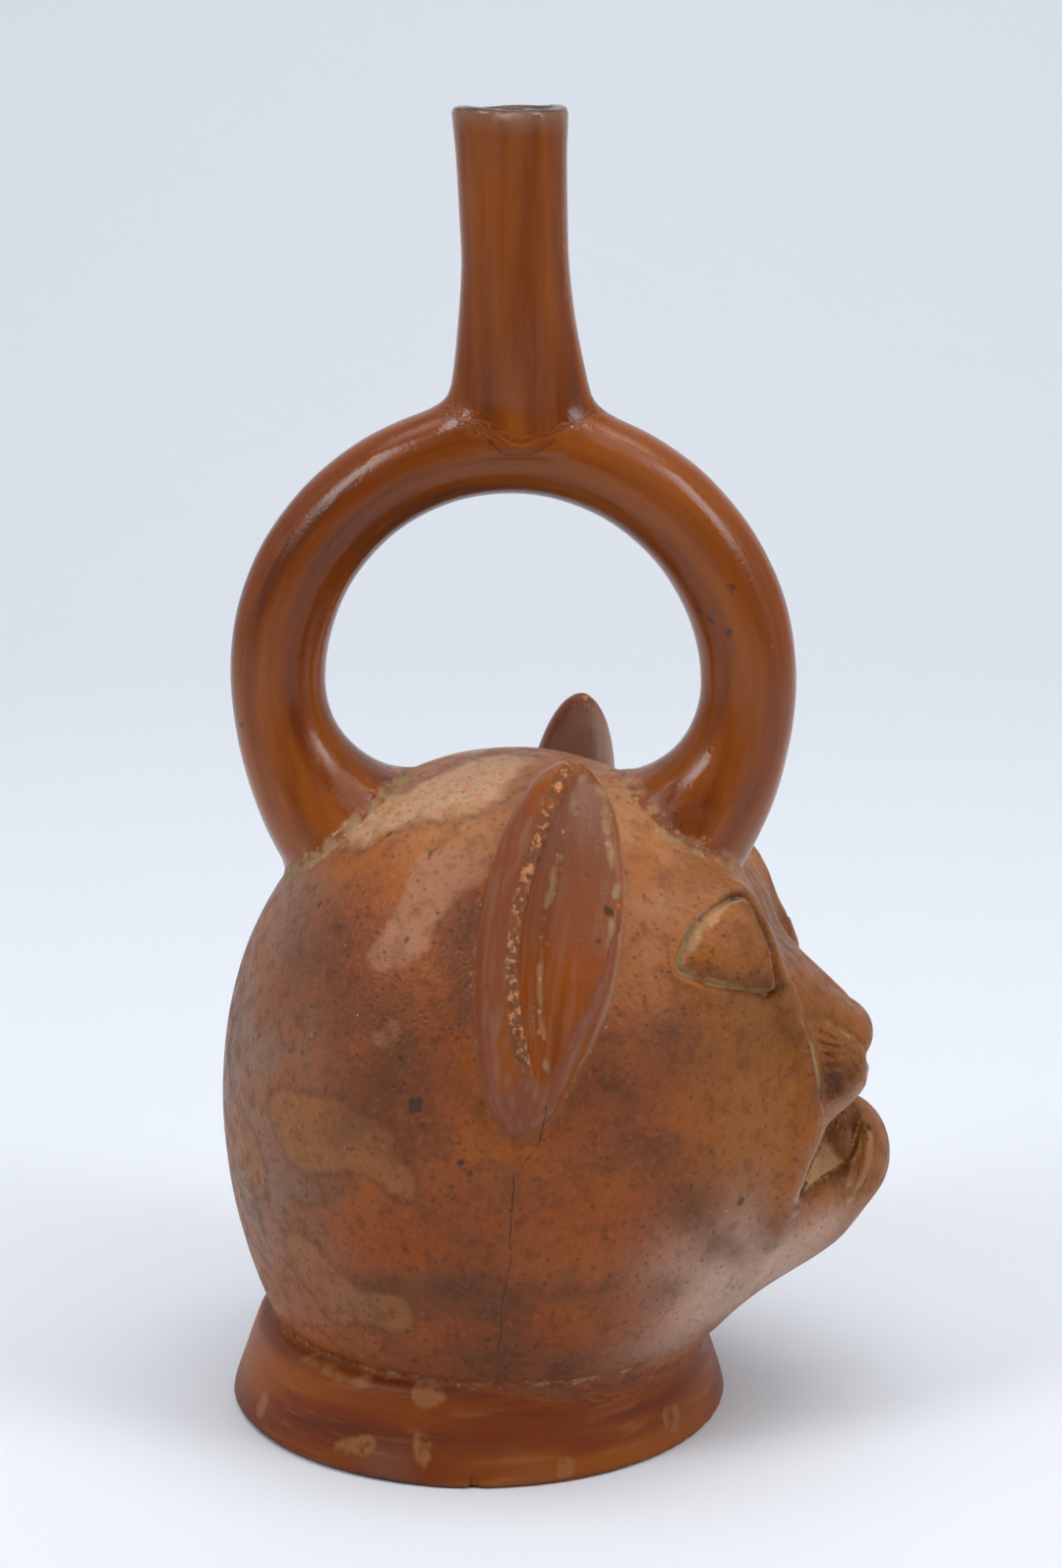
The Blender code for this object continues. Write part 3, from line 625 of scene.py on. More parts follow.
# Outlines of the painted and worn patches. Those round the head are (degrees from the back of the
# skull, height), the crown's are (reach, side).
patches = {
    "paint": [
        [(38, 81), (49, 83), (56, 85), (62, 83), (66, 80), (71, 75), (73, 70), (73, 66), (71, 64), (68, 65),
         (64, 70), (60, 69), (55, 67), (50, 66), (45, 67), (41, 71), (38, 76)],
        [(40, 50), (45, 51), (50, 49), (52, 44), (58, 42), (64, 43), (70, 42), (70, 37), (66, 33), (58, 33),
         (49, 30), (46, 33), (44, 37), (41, 41), (39, 45)],
        [(17, 74), (28, 73), (33, 68), (36, 61), (33, 56), (26, 56), (18, 61)],
    ],
    "rose": [
        [(58, 131), (67, 134), (80, 134), (85, 132), (83, 128), (76, 124), (73, 119), (71, 113), (65, 110),
         (58, 110), (55, 113), (58, 118), (60, 124), (59, 128)],
        [(60, 100), (68, 102), (70, 97), (66, 94), (62, 95)],
    ],
    "cream": [
        [(-35, 15), (-22, 12), (-7, 3), (10, 3), (9, 16), (3, 24), (-3, 26), (-10, 25), (-16, 23), (-21, 22),
         (-29, 17)],
    ],
    "footPaint": [
        [(36, 20.5), (59, 19.5), (59, 17.5), (50, 17), (36, 18.5)],
        [(69, 19.5), (75, 20), (76, 17.5), (72, 16), (69, 16.5)],
        [(55, 10), (62, 9), (61, 3), (52, 3), (50, 6)],
        [(69, 12), (74, 11), (74, 4), (70, 4)],
        [(108, 25), (114, 25.5), (114, 23), (108, 22.5)],
        [(136, 9), (141, 9), (142, 3), (137, 3)],
        [(102, 5), (107, 5), (107, 1), (101, 1)],
        [(25, 10), (30, 9), (30, 4), (26, 4)],
        [(165, 14), (176, 13), (174, 8), (166, 9)],
    ],
}
# (degrees from the back, height, radius) of dark spots on the head, and places of those on the handle
spots = [(64, 132, 1.7), (43, 133, 0.8), (35, 119, 1.0), (29, 121, 1.1), (65, 116, 0.9), (46, 79, 1.0),
         (51, 81, 0.7), (73, 85, 1.8), (69, 94, 0.7), (77, 75, 0.8), (83, 83, 0.9), (79, 82, 0.7),
         (82, 74, 0.7), (84, 72, 0.9), (59, 74, 0.8), (116, 68, 1.2), (110, 119, 0.7), (113, 124, 0.9),
         (111, 129, 0.6), (140, 60, 0.8), (12, 100, 1.2), (20, 44, 0.9)]
handleSpots = [(48, 9, 177), (52, 10, 174), (52, 10, 183), (46, 7, 178), (43, 9, 189), (-40, 8, 190),
               (-51, 6, 152)]
crack = [(31, 6), (40, 7), (48, 7), (56, 9), (63, 9), (71, 10), (78, 14), (86, 16)]
# (reach, height, reach's spread, height's spread, strength) of warm and of dull areas on the head's sides
warmAreas = [(-14, 56, 22, 9, 0.9), (0, 36, 40, 9, 0.8), (55, 80, 12, 18, 0.7), (28, 60, 16, 10, 0.55),
             (12, 88, 12, 12, 0.5), (76, 92, 9, 9, 0.6), (82, 58, 7, 9, 0.5), (-20, 108, 14, 10, 0.45),
             (48, 118, 10, 8, 0.3)]
dullAreas = [(-36, 60, 8, 12, 0.9), (6, 46, 30, 4.5, 0.75), (-16, 88, 10, 8, 0.55), (-14, 104, 5, 9, 0.6),
             (-24, 40, 12, 5, 0.8), (24, 26, 26, 4, 0.5), (44, 92, 8, 8, 0.35), (-38, 100, 10, 20, 0.5),
             (76, 80, 6, 7, 0.9), (70, 92, 5, 4, 0.4), (80, 62, 6, 6, 0.6), (60, 104, 7, 4, 0.5),
             (60, 92, 8, 8, 0.4)]
# painted sheen on the jaw and lower cheek, over clay that is partly pale there; same columns as above
sheenAreas = [(64, 41, 12, 7, 1.0), (50, 33, 11, 6, 0.9), (56, 47, 6, 12, 0.9), (40, 26, 10, 5, 0.5),
              (45, 46, 10, 11, 0.6), (74, 47, 7, 4, 0.6)]
tanAreas = [(36, 129, 14, 12, 0.9), (0, 138, 34, 8, 0.7), (24, 110, 14, 12, 0.5), (56, 120, 8, 12, 0.6)]


def areaSum(reach, height, areas):
    total = np.zeros(reach.shape)
    for atReach, atHeight, overReach, overHeight, strength in areas:
        u, v = (reach - atReach) / overReach, (height - atHeight) / overHeight
        total += strength * np.exp(-(u**2) - v**2)
    return np.clip(total, 0.0, 1.0)


def patchGap(u, v, outlines):
    return np.min([outline(u, v, rounded(corners, 1)) for corners in outlines], axis=0)


def surfaceMarks(points):
    # Values at each point of the skin that tell the clay's material what lies there.
    p = points.copy()
    p[:, 1] = np.abs(p[:, 1])
    far = points[:, 1] > 0.0
    reach, side, height = p.T
    head = headForm(p)
    leaf = earForm(p, far)[0]
    body = footForm(p)[0]
    wall, bore, over = spoutForm(points)
    ring = handleForm(p, handle["tube"], handle["swell"])
    spoutWall = np.maximum(wall, over)
    arm = np.minimum(ring, spoutWall)
    marks = {"slip": smooth(0.5 + (head - arm) / 2.4)}
    marks["foot"] = smooth(0.5 + (head - body) / 1.6) * (height < 30.0)
    marks["ear"] = smooth(0.5 + (head - leaf) / 1.4) * (leaf < 4.0)
    inClay = np.min((head, arm, leaf, body), axis=0)
    marks["inside"] = smooth((-inClay - 2.2) / 0.8) * (marks["ear"] < 0.5)
    a, o, f, halfLength = earPlaces(p, far)
    marks["inner"] = marks["ear"] * smooth((-leaf - 0.25) / 0.8)
    marks["along"] = a / halfLength
    marks["earBack"] = smooth((2.0 - o) / 5.0)
    fromCrest = f - np.interp(a, *zip(*ear["crest"]))
    onLeaf = marks["ear"] * smooth((leaf + 1.6) / 1.0)
    marks["wear"] = onLeaf * bell(fromCrest + 1.2, 2.2) * smooth((a + 36.0) / 16.0)
    eyeGap, u, v = eyeOutline(p)
    onFace = bell(head, 4.0)
    eyeWidth = 0.7 + 1.0 * smooth((2.0 - u) / 12.0) * smooth((v + 8.0) / 10.0)
    fromFront = f - np.interp(a, *zip(*ear["frontForward"]))
    earEdge = 0.5 * marks["ear"] * bell(fromFront, 1.0) * (o > -3.0)
    residues = [
        bell(eyeGap + 0.5, eyeWidth) * (0.6 + 0.3 * smooth(-u / 6.0)),
        0.9 * bell(alongLine(p, "noseEdge")[0], 1.2),
        0.9 * bell(alongLine(p, "crease")[0], 1.1),
        0.55 * bell(np.maximum(head, arm), 3.2) * (height > 110.0) * (body > 20.0),
        0.3 * bell(np.maximum(head, leaf), 1.2) * (height > 70.0),
        0.4 * bell(height - foot["height"] - 0.9, 1.4) * (side + np.abs(reach) > 20.0),
        earEdge * smooth((a + 10.0) / 20.0),
        0.42 * marks["inner"] * bell(fromCrest - 1.6, 1.0),
    ]
    marks["residue"] = np.max(residues, axis=0) * (1.0 - marks["inside"])
    lipGap = alongLine(p, "lip")[0]
    ridgeGap = alongLine(p, "cheek", 5)[0]
    # painted sheen on the jaw, lip roll and cheek ridge, partly over pale residue
    sheen = areaSum(reach, height, sheenAreas) * onFace + 0.9 * bell(lipGap, 2.7) * (lipGap < 3.4)
    marks["sheen"] = np.clip(sheen + 0.85 * bell(ridgeGap, 2.0), 0.0, 1.0)
    dark = bell(alongLine(p, "mouthFloor")[0], 1.1) + 0.6 * bell(alongLine(p, "toothGap")[0], 0.9)
    dark += 0.9 * np.exp(-(((reach - 75.0) / 3.2) ** 2) - ((height - 79.5) / 4.0) ** 2) * (lipGap > 2.2)
    marks["dark"] = np.clip(dark, 0.0, 1.0)
    inMouth = outline(reach, height, mouthOutline)
    marks["mouth"] = smooth(-inMouth / 1.5) * (side > 5.0)
    # pale tooth, and painted highlights along the crests of the two canine folds
    marks["toothAndCrestHighlights"] = np.clip(bell(alongLine(p, "canineFront")[0], 0.8)
                             + bell(alongLine(p, "canineBack")[0], 0.7)
                             + 0.8 * smooth(-outline(reach, height, toothOutline)) * (side > 5.0), 0.0, 1.0)
    marks["face"] = smooth((reach - 36.0) / 20.0)
    eyeDome = smooth((-eyeGap - 0.6) / 2.0) * (reach > 40.0)
    marks["tan"] = areaSum(reach, height, tanAreas) * (1.0 - 0.9 * eyeDome)
    marks["warm"] = np.clip(areaSum(reach, height, warmAreas) + 0.5 * eyeDome, 0.0, 1.0)
    marks["dull"] = areaSum(reach, height, dullAreas)
    # greyer toward the back of the head: pale residue, and a painted reflection of the bright surroundings
    marks["grey"] = smooth((-18.0 - reach) / 34.0) * smooth((height - 22.0) / 30.0)
    phi = np.degrees(np.arctan2(side, skull["centre"][0] - reach))
    # the far side has the same patches, shifted
    phi = np.where(far, phi + 7.0 * np.sin(height / 19.0) + 4.0, phi)
    heightThere = np.where(far, height - 6.0, height)
    for name in ("paint", "rose"):
        marks[name] = patchGap(phi, heightThere, patches[name])
    marks["footPaint"] = patchGap(phi, height, patches["footPaint"])
    marks["cream"] = np.where(height > 118.0, patchGap(reach, side, patches["cream"]), 30.0)
    gaps = [np.hypot(1.05 * (phi - at), heightThere - up) - radius for at, up, radius in spots]
    gaps += [np.linalg.norm(p - np.array(place, float), axis=1) - 1.0 for place in handleSpots]
    marks["spots"] = np.min(gaps, axis=0)
    heights, reaches = zip(*crack)
    crackAt = reach - np.interp(height, heights, reaches)
    marks["crack"] = np.where(far | (height < 29.0) | (height > 88.0) | (head < -1.5), 20.0, crackAt)
    marks["rim"] = np.where(arm < 3.0, over, -90.0)
    # directions that the clay was rubbed in: round the foot, along the handle, up the spout and the ears
    angle = np.arctan2(reach - handle["centre"][0], height - handle["centre"][2])
    fromRing = np.hypot(height - handle["centre"][2], reach - handle["centre"][0])
    streams = {
        "head": points,
        "ring": np.stack((angle * 5.0, fromRing, points[:, 1]), axis=1),
        "spout": np.stack((reach, points[:, 1], height * 0.09), axis=1),
        "ear": np.stack((f, o, a * 0.1), axis=1),
        "foot": np.stack((reach * 0.12, points[:, 1] * 0.12, height), axis=1),
    }
    stream = streams["head"]
    for name, share in (("ring", marks["slip"]),
                        ("spout", marks["slip"] * smooth(0.5 + (ring - spoutWall) / 1.2)),
                        ("ear", marks["ear"]), ("foot", marks["foot"])):
        stream = stream + share[:, None] * (streams[name] - stream)
    marks["stream"] = stream / 1000.0
    marks["matt"] = 1.0 - np.maximum(marks["slip"], np.maximum(0.6 * marks["foot"], 0.7 * marks["ear"]))
    return marks


def storeMarks(mesh, marks):
    for name, values in marks.items():
        kind, field = ("FLOAT_VECTOR", "vector") if values.ndim == 2 else ("FLOAT", "value")
        mesh.attributes.new(name, kind, "POINT").data.foreach_set(field, values.astype(np.float32).ravel())


storeMarks(vessel.data, surfaceMarks(skin))
print("marks stored")


def put(tree, kind, inputs=(), **settings):
    # New node. Inputs are (name or index, socket or value).
    node = tree.nodes.new(kind)
    for name, value in settings.items():
        setattr(node, name, value)
    for name, value in dict(inputs).items():
        if isinstance(value, bpy.types.NodeSocket):
            tree.links.new(value, node.inputs[name])
        else:
            node.inputs[name].default_value = value
    return node


def maths(tree, operation, a, b=0.0):
    return put(tree, "ShaderNodeMath", [(0, a), (1, b)], operation=operation).outputs[0]


def ramp(tree, value, start, end, low=0.0, high=1.0):
    node = put(tree, "ShaderNodeMapRange", [(0, value), (1, start), (2, end), (3, low), (4, high)],
               interpolation_type="SMOOTHSTEP")
    return node.outputs[0]


def makeGrains():
    # Mask of separate spots: a share of the cells holds a spot of the given radius.
    group = bpy.data.node_groups.new("grains", "ShaderNodeTree")
    for label, kind in (("Vector", "Vector"), ("Scale", "Float"), ("Radius", "Float"), ("Share", "Float")):
        group.interface.new_socket(label, in_out="INPUT", socket_type="NodeSocket" + kind)
    group.interface.new_socket("Mask", in_out="OUTPUT", socket_type="NodeSocketFloat")
    given = group.nodes.new("NodeGroupInput").outputs
    end = group.nodes.new("NodeGroupOutput")
    cells = put(group, "ShaderNodeTexVoronoi", [("Vector", given["Vector"]), ("Scale", given["Scale"])])
    size, core = (maths(group, "MULTIPLY", given["Radius"], part) for part in (1.5, 0.5))
    near = ramp(group, cells.outputs["Distance"], size, core)
    pick = put(group, "ShaderNodeSeparateColor", [(0, cells.outputs["Color"])]).outputs[0]
    chosen = maths(group, "LESS_THAN", pick, given["Share"])
    group.links.new(maths(group, "MULTIPLY", near, chosen), end.inputs["Mask"])
    return group


grainGroup = makeGrains()


def grains(tree, vector, scale, radius, share):
    inputs = [("Vector", vector), ("Scale", scale), ("Radius", radius), ("Share", share)]
    return put(tree, "ShaderNodeGroup", inputs, node_tree=grainGroup).outputs[0]


# Colours as the photograph shows them, from 0 to 255, and how strongly the studio lights them there
clayLook = {
    "lightThere": 0.72,
    "orange": (124, 56, 10),
    "amber": (136, 74, 28),
    "brown": (86, 50, 28),
    "red": (116, 60, 32),
    "grey": (118, 88, 70),
    "ochre": (128, 82, 46),
    "rose": (142, 96, 68),
    "cream": (166, 132, 102),
    "creamEdge": (96, 68, 50),
    "face": (128, 76, 30),
    "faceDark": (88, 50, 20),
    "olive": (122, 74, 32),
    "tan": (158, 110, 72),
    "mouth": (112, 70, 36),
    "sheen": (170, 142, 126),
    "residue": (158, 126, 92),
    "greenish": (136, 120, 86),
    "grit": (178, 116, 76),
    # dark spots and crack, also used for the painted shadow line under the spout's top
    "spot": (48, 36, 30),
    "pit": (60, 34, 22),
    "slip": (102, 46, 6),
    "slipBright": (124, 63, 14),
    "slipWorn": (112, 58, 28),
    "slipDark": (66, 32, 18),
    "foot": (98, 42, 14),
    "footGrey": (104, 72, 56),
    "earBand": (112, 58, 34),
    "earBack": (142, 112, 96),
    "earRough": (92, 58, 38),
    "earTop": (112, 66, 44),
    "earLow": (118, 56, 12),
    "tooth": (172, 132, 92),
    "inside": (96, 62, 44),
}


srgb = {"straightBelow": 10.4 / 255.0, "straight": 12.92, "offset": 0.055, "power": 2.4}
brightest = 0.95


def tint(name):
    # A colour of clayLook in linear light.
    linear = [share / srgb["straight"] if share < srgb["straightBelow"]
              else ((share + srgb["offset"]) / (1.0 + srgb["offset"])) ** srgb["power"]
              for share in (value / 255.0 for value in clayLook[name])]
    return (*[min(value / clayLook["lightThere"], brightest) for value in linear], 1.0)


def makeClay():
    clay = bpy.data.materials.new("burnishedClay")
    clay.use_nodes = True
    tree = clay.node_tree
    finish = tree.nodes["Principled BSDF"]
    place = put(tree, "ShaderNodeTexCoord").outputs["Object"]
    stream = put(tree, "ShaderNodeAttribute", attribute_name="stream").outputs["Vector"]

    def times(a, b):
        return maths(tree, "MULTIPLY", a, b)

    def plus(a, b):
        return maths(tree, "ADD", a, b)

    def fade(value, start, end, low=0.0, high=1.0):
        return ramp(tree, value, start, end, low, high)

    def mark(name):
        return put(tree, "ShaderNodeAttribute", attribute_name=name).outputs["Fac"]

    def blend(share, a, b):
        return put(tree, "ShaderNodeMix", [(0, share), (6, a), (7, b)], data_type="RGBA").outputs[2]

    def lerp(share, a, b):
        return put(tree, "ShaderNodeMix", [(0, share), (2, a), (3, b)], data_type="FLOAT").outputs[0]

    def layer(under, name, share, amount=None):
        # lays a colour over another one
        return blend(share if amount is None else times(share, amount), under, tint(name))

    def noise(vector, scale, detail):
        inputs = [("Vector", vector), ("Scale", scale), ("Detail", detail)]
        return put(tree, "ShaderNodeTexNoise", inputs).outputs[0]

    wide = noise(place, 24.0, 2.0)
    ragged = noise(place, 85.0, 4.0)
    speckle = noise(place, 280.0, 4.0)
    fine = noise(place, 760.0, 2.0)
    streaks = noise(stream, 130.0, 3.0)
    thin = noise(stream, 560.0, 2.0)
    aside = plus(ragged, -0.5)

    def edge(name, amount, low, high):
        # mask inside a stored outline, its edge broken up by noise
        return fade(plus(mark(name), times(aside, amount)), high, low)

    # head: orange, brown and red clouds, one over the other
    head = blend(fade(wide, 0.38, 0.62), tint("red"), tint("amber"))
    head = layer(head, "brown", fade(ragged, 0.48, 0.70), 0.42)
    warm = times(mark("warm"), fade(ragged, 0.65, 0.35, 0.62, 1.0))
    head = layer(head, "orange", warm)
    dull = times(mark("dull"), fade(ragged, 0.35, 0.65, 0.5, 1.0))
    head = layer(head, "brown", dull)
    # painted reflection with pale residue: the back of the head greyer
    grey = times(mark("grey"), fade(ragged, 0.35, 0.6, 0.5, 1.0))
    head = layer(head, "grey", grey)
    faceShare = times(mark("face"), fade(ragged, 0.35, 0.65, 0.85, 0.5))
    head = layer(head, "face", faceShare)
    head = layer(head, "olive", times(mark("warm"), mark("face")), 0.75)
    head = layer(head, "faceDark", times(mark("dull"), mark("face")), 0.7)
    head = layer(head, "tan", times(mark("tan"), fade(ragged, 0.38, 0.62, 0.35, 0.95)))
    # painted patches, with a slightly darker border
    painted = edge("paint", 6.0, -1.6, 0.8)
    paintEdge = maths(tree, "SUBTRACT", edge("paint", 6.0, 0.3, 2.4), painted)
    head = layer(head, "brown", paintEdge, 0.45)
    head = layer(head, "ochre", painted, 0.72)
    rosy = edge("rose", 8.0, -1.8, 0.6)
    head = layer(head, "rose", rosy, 0.8)
    creamy = edge("cream", 20.0, -3.5, 1.5)
    creamEdge = maths(tree, "SUBTRACT", edge("cream", 20.0, 1.0, 5.0), creamy)
    head = layer(head, "creamEdge", creamEdge, 0.45)
    head = layer(head, "cream", times(creamy, fade(speckle, 0.36, 0.6, 0.4, 0.9)))
    # painted sheen and highlights on the jaw, lip roll and cheek ridge, partly pale residue
    head = layer(head, "sheen", times(mark("sheen"), fade(speckle, 0.35, 0.65, 0.62, 0.92)))
    head = layer(head, "mouth", mark("mouth"), 0.6)
    # pale tooth and painted highlights along the canine crests
    head = layer(head, "tooth", mark("toothAndCrestHighlights"), 0.7)
    # fine mottling of the fired clay
    smoky = times(fade(wide, 0.52, 0.34), fade(ragged, 0.35, 0.62, 0.25, 0.75))
    head = layer(head, "brown", smoky)
    head = layer(head, "pit", fade(speckle, 0.48, 0.72, 0.0, 0.34))
    head = layer(head, "rose", fade(fine, 0.55, 0.75, 0.0, 0.20))
    head = layer(head, "pit", fade(fine, 0.45, 0.28, 0.0, 0.30))

    # slip on the handle and spout, streaked the way it was rubbed
    slipColour = blend(fade(streaks, 0.40, 0.64), tint("slip"), tint("slipBright"))
    darker = fade(streaks, 0.44, 0.30)
    slipColour = layer(slipColour, "slipDark", darker, 0.7)
    slipColour = layer(slipColour, "slipWorn", fade(thin, 0.45, 0.70, 0.0, 0.4))
    slipColour = layer(slipColour, "slipWorn", fade(ragged, 0.60, 0.72, 0.0, 0.35))
    # worn lip of the spout, and a painted shadow of the inner rim as a dark line along its top
    over = mark("rim")
    band = fade(plus(over, times(ragged, 5.0)), -3.5, 1.5)
    slipColour = layer(slipColour, "grey", band, 0.7)
    # painted shadow of the inner rim: a dark line just under the spout's top edge
    slipColour = layer(slipColour, "spot", fade(over, -0.9, -0.2, 0.0, 0.85))

    # foot, brushed round
    footColour = blend(fade(streaks, 0.40, 0.66), tint("foot"), tint("slipBright"))
    footColour = layer(footColour, "slipDark", darker, 0.6)
    footColour = layer(footColour, "footGrey", fade(wide, 0.50, 0.66, 0.0, 0.5))
    footColour = layer(footColour, "footGrey", grey, 0.7)
    tan = times(edge("footPaint", 9.0, -0.8, 0.5), fade(speckle, 0.35, 0.55))
    footColour = layer(footColour, "ochre", tan, 0.8)
    footColour = layer(footColour, "ochre", fade(thin, 0.55, 0.75, 0.0, 0.4))

    # ears: band, worn crest and the burnished hollow that turns from purple-brown to orange
    down = fade(plus(mark("along"), aside), 0.65, -0.35)
    inner = blend(down, tint("earTop"), tint("earLow"))
    inner = layer(inner, "grey", fade(thin, 0.45, 0.75, 0.0, 0.35))
    inner = layer(inner, "slipDark", darker, 0.5)
    earColour = blend(fade(streaks, 0.40, 0.66), tint("earBand"), tint("slipBright"))
    earColour = layer(earColour, "grey", fade(thin, 0.45, 0.70, 0.0, 0.5))
    earColour = blend(mark("inner"), earColour, inner)
    grit = put(tree, "ShaderNodeTexVoronoi", [("Vector", place), ("Scale", 700.0)])
    gritPick = put(tree, "ShaderNodeSeparateColor", [(0, grit.outputs["Color"])]).outputs
    worn = times(fade(plus(mark("wear"), times(speckle, 0.9)), 0.95, 1.25), mark("ear"))
    rough = blend(fade(fine, 0.48, 0.68), tint("earRough"), tint("grit"))
    rough = layer(rough, "slipBright", fade(ragged, 0.50, 0.62, 0.0, 0.8))
    earColour = blend(times(worn, 0.75), earColour, rough)
    earColour = layer(earColour, "earBack", mark("earBack"), 0.85)

    colour = blend(mark("ear"), head, earColour)
    colour = blend(mark("foot"), colour, footColour)
    slip = fade(plus(mark("slip"), times(aside, 0.5)), 0.3, 0.6)
    colour = blend(slip, colour, slipColour)

    # residue left in grooves and joins, grit beside the handle's feet
    residue = fade(times(mark("residue"), fade(speckle, 0.36, 0.62, 0.55, 1.3)), 0.22, 0.66)
    residueColour = blend(fade(ragged, 0.42, 0.58), tint("residue"), tint("greenish"))
    colour = blend(times(residue, 0.66), colour, residueColour)
    gritty = times(fade(mark("residue"), 0.04, 0.5), fade(gritPick[1], 0.80, 0.84))
    gritty = times(gritty, fade(grit.outputs["Distance"], 0.45, 0.25))
    colour = layer(colour, "grit", gritty, 0.7)

    # dark spots, grooves, pits and the crack
    pitCells = put(tree, "ShaderNodeTexVoronoi", [("Vector", place), ("Scale", 430.0)])
    pitPick = put(tree, "ShaderNodeSeparateColor", [(0, pitCells.outputs["Color"])]).outputs
    pits = times(fade(pitCells.outputs["Distance"], 0.26, 0.10), fade(pitPick[0], 0.66, 0.62))
    pits = times(pits, maths(tree, "MAXIMUM", mark("matt"), 0.1))
    colour = layer(colour, "pit", pits, 0.32)
    spotted = fade(plus(mark("spots"), times(plus(speckle, -0.5), 3.0)), 0.3, -0.4)
    colour = layer(colour, "spot", spotted, 0.75)
    colour = layer(colour, "spot", grains(tree, place, 150.0, 0.06, 0.06), 0.6)
    colour = layer(colour, "cream", grains(tree, place, 230.0, 0.055, 0.10), 0.8)
    colour = layer(colour, "pit", mark("dark"), 0.65)
    line = maths(tree, "ABSOLUTE", plus(mark("crack"), times(aside, 5.0)))
    cracked = times(fade(line, 0.24, 0.08), fade(speckle, 0.40, 0.48, 0.3, 1.0))
    colour = layer(colour, "spot", cracked, 0.9)
    colour = layer(colour, "inside", mark("inside"))
    tree.links.new(colour, finish.inputs["Base Color"])

    # gloss: burnished slip, satin ears and foot, matt head, dry residue
    gloss = lerp(slip, fade(speckle, 0.35, 0.65, 0.36, 0.54), fade(thin, 0.35, 0.7, 0.15, 0.29))
    gloss = lerp(mark("foot"), gloss, 0.42)
    gloss = lerp(mark("ear"), gloss, 0.32)
    gloss = lerp(worn, gloss, 0.75)
    gloss = lerp(residue, gloss, 0.85)
    gloss = lerp(mark("inside"), gloss, 0.9)
    tree.links.new(gloss, finish.inputs["Roughness"])
    tree.links.new(lerp(slip, 0.17, 0.33), finish.inputs["Specular IOR Level"])

    # relief too small for the mesh
    height = times(noise(place, 950.0, 2.0), times(maths(tree, "MAXIMUM", mark("matt"), 0.2), 1.3))
    height = plus(height, times(streaks, 0.9))
    height = plus(height, times(times(pits, -1.0), 0.9))
    height = plus(height, times(mark("wear"), times(speckle, 4.0)))
    height = plus(height, times(mark("residue"), speckle))
    bump = put(tree, "ShaderNodeBump", [("Strength", 0.7), ("Distance", 0.0003), ("Height", height)]).outputs[0]
    tree.links.new(bump, finish.inputs["Normal"])
    return clay


vessel.data.materials.clear()
vessel.data.materials.append(makeClay())
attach(vessel, "root")
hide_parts("stirrup_vessel")


stageLook = {
    "floorColour": (0.78, 0.80, 0.83, 1.0),
    "skyColour": (0.80, 0.87, 1.0, 1.0),
    "skyStrength": 0.48,
    "behindCamera": 0.12,
}


def makeFloor():
    # Plain sweep that runs from the floor up into the backdrop.
    mesh = bpy.data.meshes.new("floor")
    width, front, back, bend, top = 3.0, -3.2, 1.3, 0.5, 3.0
    profile = [(front, 0.0), (back - bend, 0.0)]
    profile += [(back - bend + bend * math.sin(i * math.pi / 24),
                 bend - bend * math.cos(i * math.pi / 24)) for i in range(1, 13)]
    profile.append((back, top))
    verts = [(along, side * width, height) for along, height in profile for side in (-1.0, 1.0)]
    faces = [(2 * i, 2 * i + 2, 2 * i + 3, 2 * i + 1) for i in range(len(profile) - 1)]
    mesh.from_pydata(verts, [], faces)
    mesh.shade_smooth()
    floor = addObject("floor", mesh)
    paint = bpy.data.materials.new("floorPaint")
    paint.use_nodes = True
    finish = paint.node_tree.nodes["Principled BSDF"]
    finish.inputs["Base Color"].default_value = stageLook["floorColour"]
    finish.inputs["Roughness"].default_value = 0.6
    finish.inputs["Specular IOR Level"].default_value = 0.15
    mesh.materials.append(paint)
    return floor


floor = makeFloor()

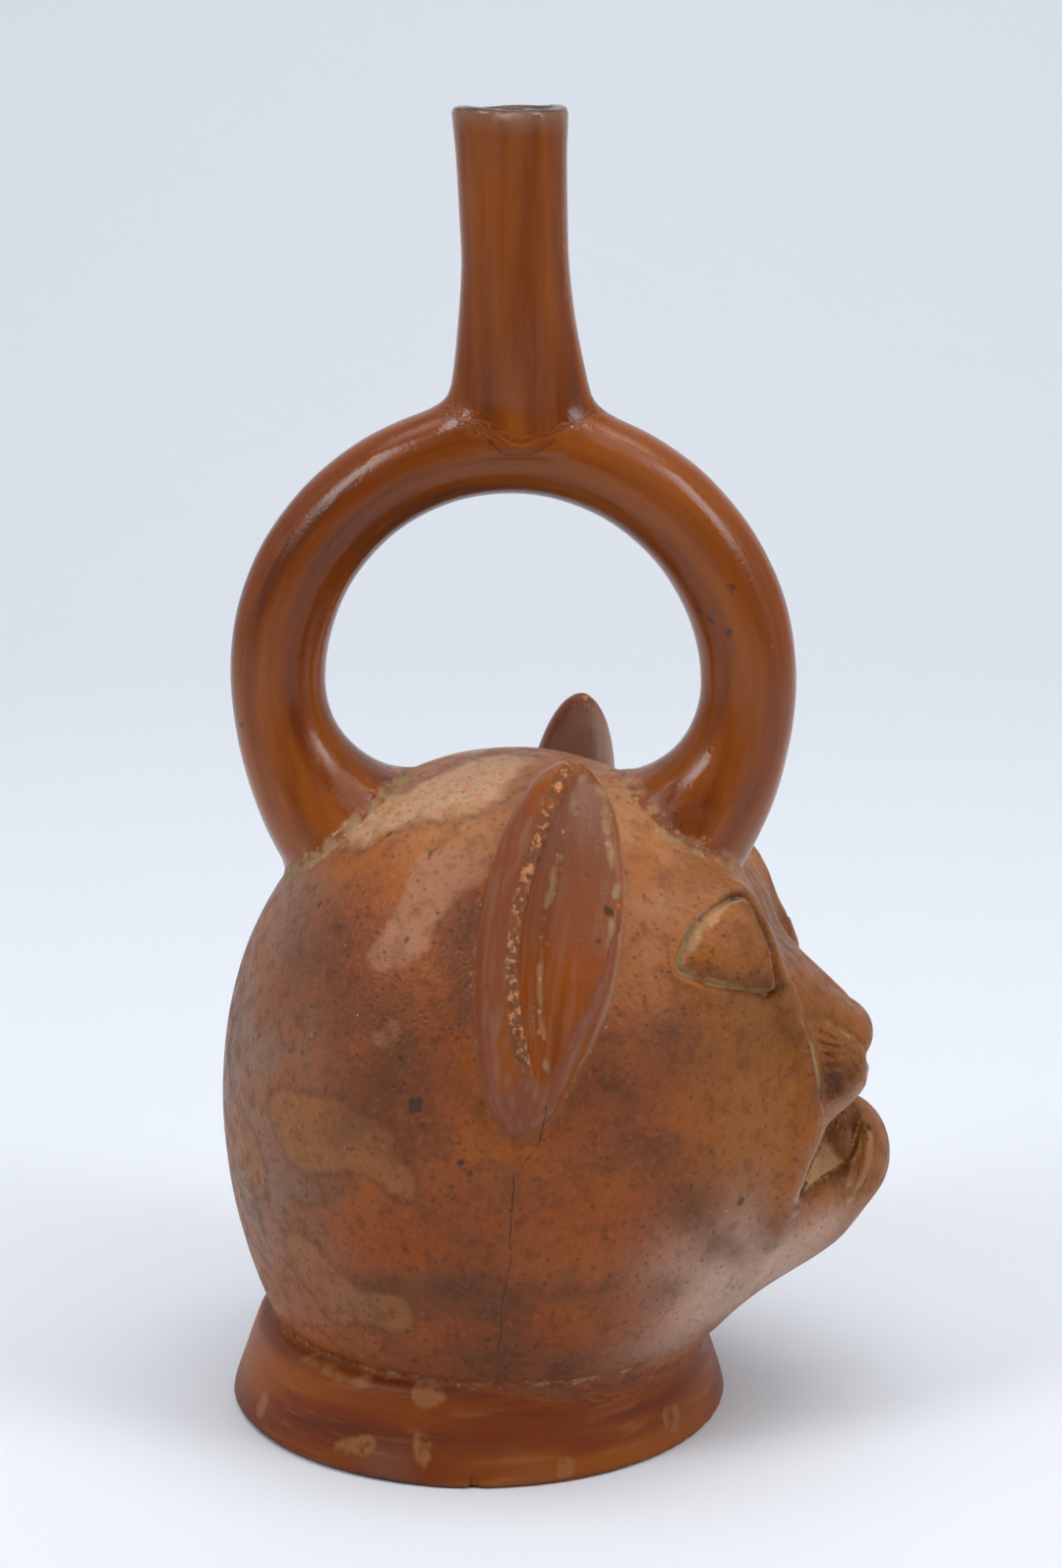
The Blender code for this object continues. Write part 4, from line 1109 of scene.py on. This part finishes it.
lamps = {
    # name: place, aimed at, width, height, watts, colour
    "softAbove": ((-0.35, -0.15, 1.25), (0.0, 0.0, 0.12), 0.9, 0.9, 3.4, (1.0, 0.98, 0.95)),
    "softLeft": ((-0.60, 0.80, 0.95), (0.0, 0.0, 0.12), 0.35, 0.6, 5.4, (0.98, 0.99, 1.0)),
    "softRight": ((-0.45, -0.85, 0.85), (0.0, 0.0, 0.12), 0.35, 0.6, 4.6, (0.98, 0.99, 1.0)),
    "softBehind": ((0.1, 0.0, 2.0), (1.3, 0.0, 0.7), 2.4, 0.8, 19.0, (0.96, 0.98, 1.0)),
}


def makeLamps():
    for name, (place, aim, width, height, watts, colour) in lamps.items():
        data = bpy.data.lights.new(name, "AREA")
        data.shape = "RECTANGLE"
        data.size = width
        data.size_y = height
        data.energy = watts
        data.color = colour
        lamp = addObject(name, data)
        lamp.location = place
        lamp.rotation_mode = "QUATERNION"
        lamp.rotation_quaternion = (Vector(aim) - Vector(place)).to_track_quat("-Z", "Y")


makeLamps()
world = bpy.data.worlds.new("studio")
world.use_nodes = True
sky = world.node_tree.nodes["Background"]
sky.inputs["Color"].default_value = stageLook["skyColour"]
toward = put(world.node_tree, "ShaderNodeTexCoord").outputs["Generated"]
forward = put(world.node_tree, "ShaderNodeSeparateXYZ", [(0, toward)]).outputs[0]
strength = ramp(world.node_tree, forward, -0.95, -0.1, stageLook["behindCamera"], stageLook["skyStrength"])
world.node_tree.links.new(strength, sky.inputs["Strength"])
bpy.context.scene.world = world
bpy.context.scene.view_settings.view_transform = "Standard"


def makeCamera():
    # Camera where the photograph was taken from.
    yaw, pan, pitch = (math.radians(view[name]) for name in ("yaw", "pan", "pitch"))
    towards = Vector((math.cos(yaw), math.sin(yaw), 0.0))
    right = Vector((math.sin(yaw), -math.cos(yaw), 0.0))
    look = towards * math.cos(pan) + right * math.sin(pan)
    look = look * math.cos(pitch) - Vector((0.0, 0.0, math.sin(pitch)))
    data = bpy.data.cameras.new("camera")
    data.sensor_width = 36.0
    data.lens = view["focalPixels"] / view["pictureHeight"] * data.sensor_width
    camera = addObject("camera", data)
    place = -towards * view["distance"] / 1000.0
    camera.location = (place.x, place.y + footShift / 1000.0, view["height"] / 1000.0)
    camera.rotation_mode = "QUATERNION"
    camera.rotation_quaternion = look.to_track_quat("-Z", "Y")
    bpy.context.scene.camera = camera


makeCamera()
print("cad", [round(value * 1000, 2) for value in [*cadLow, *cadHigh]])
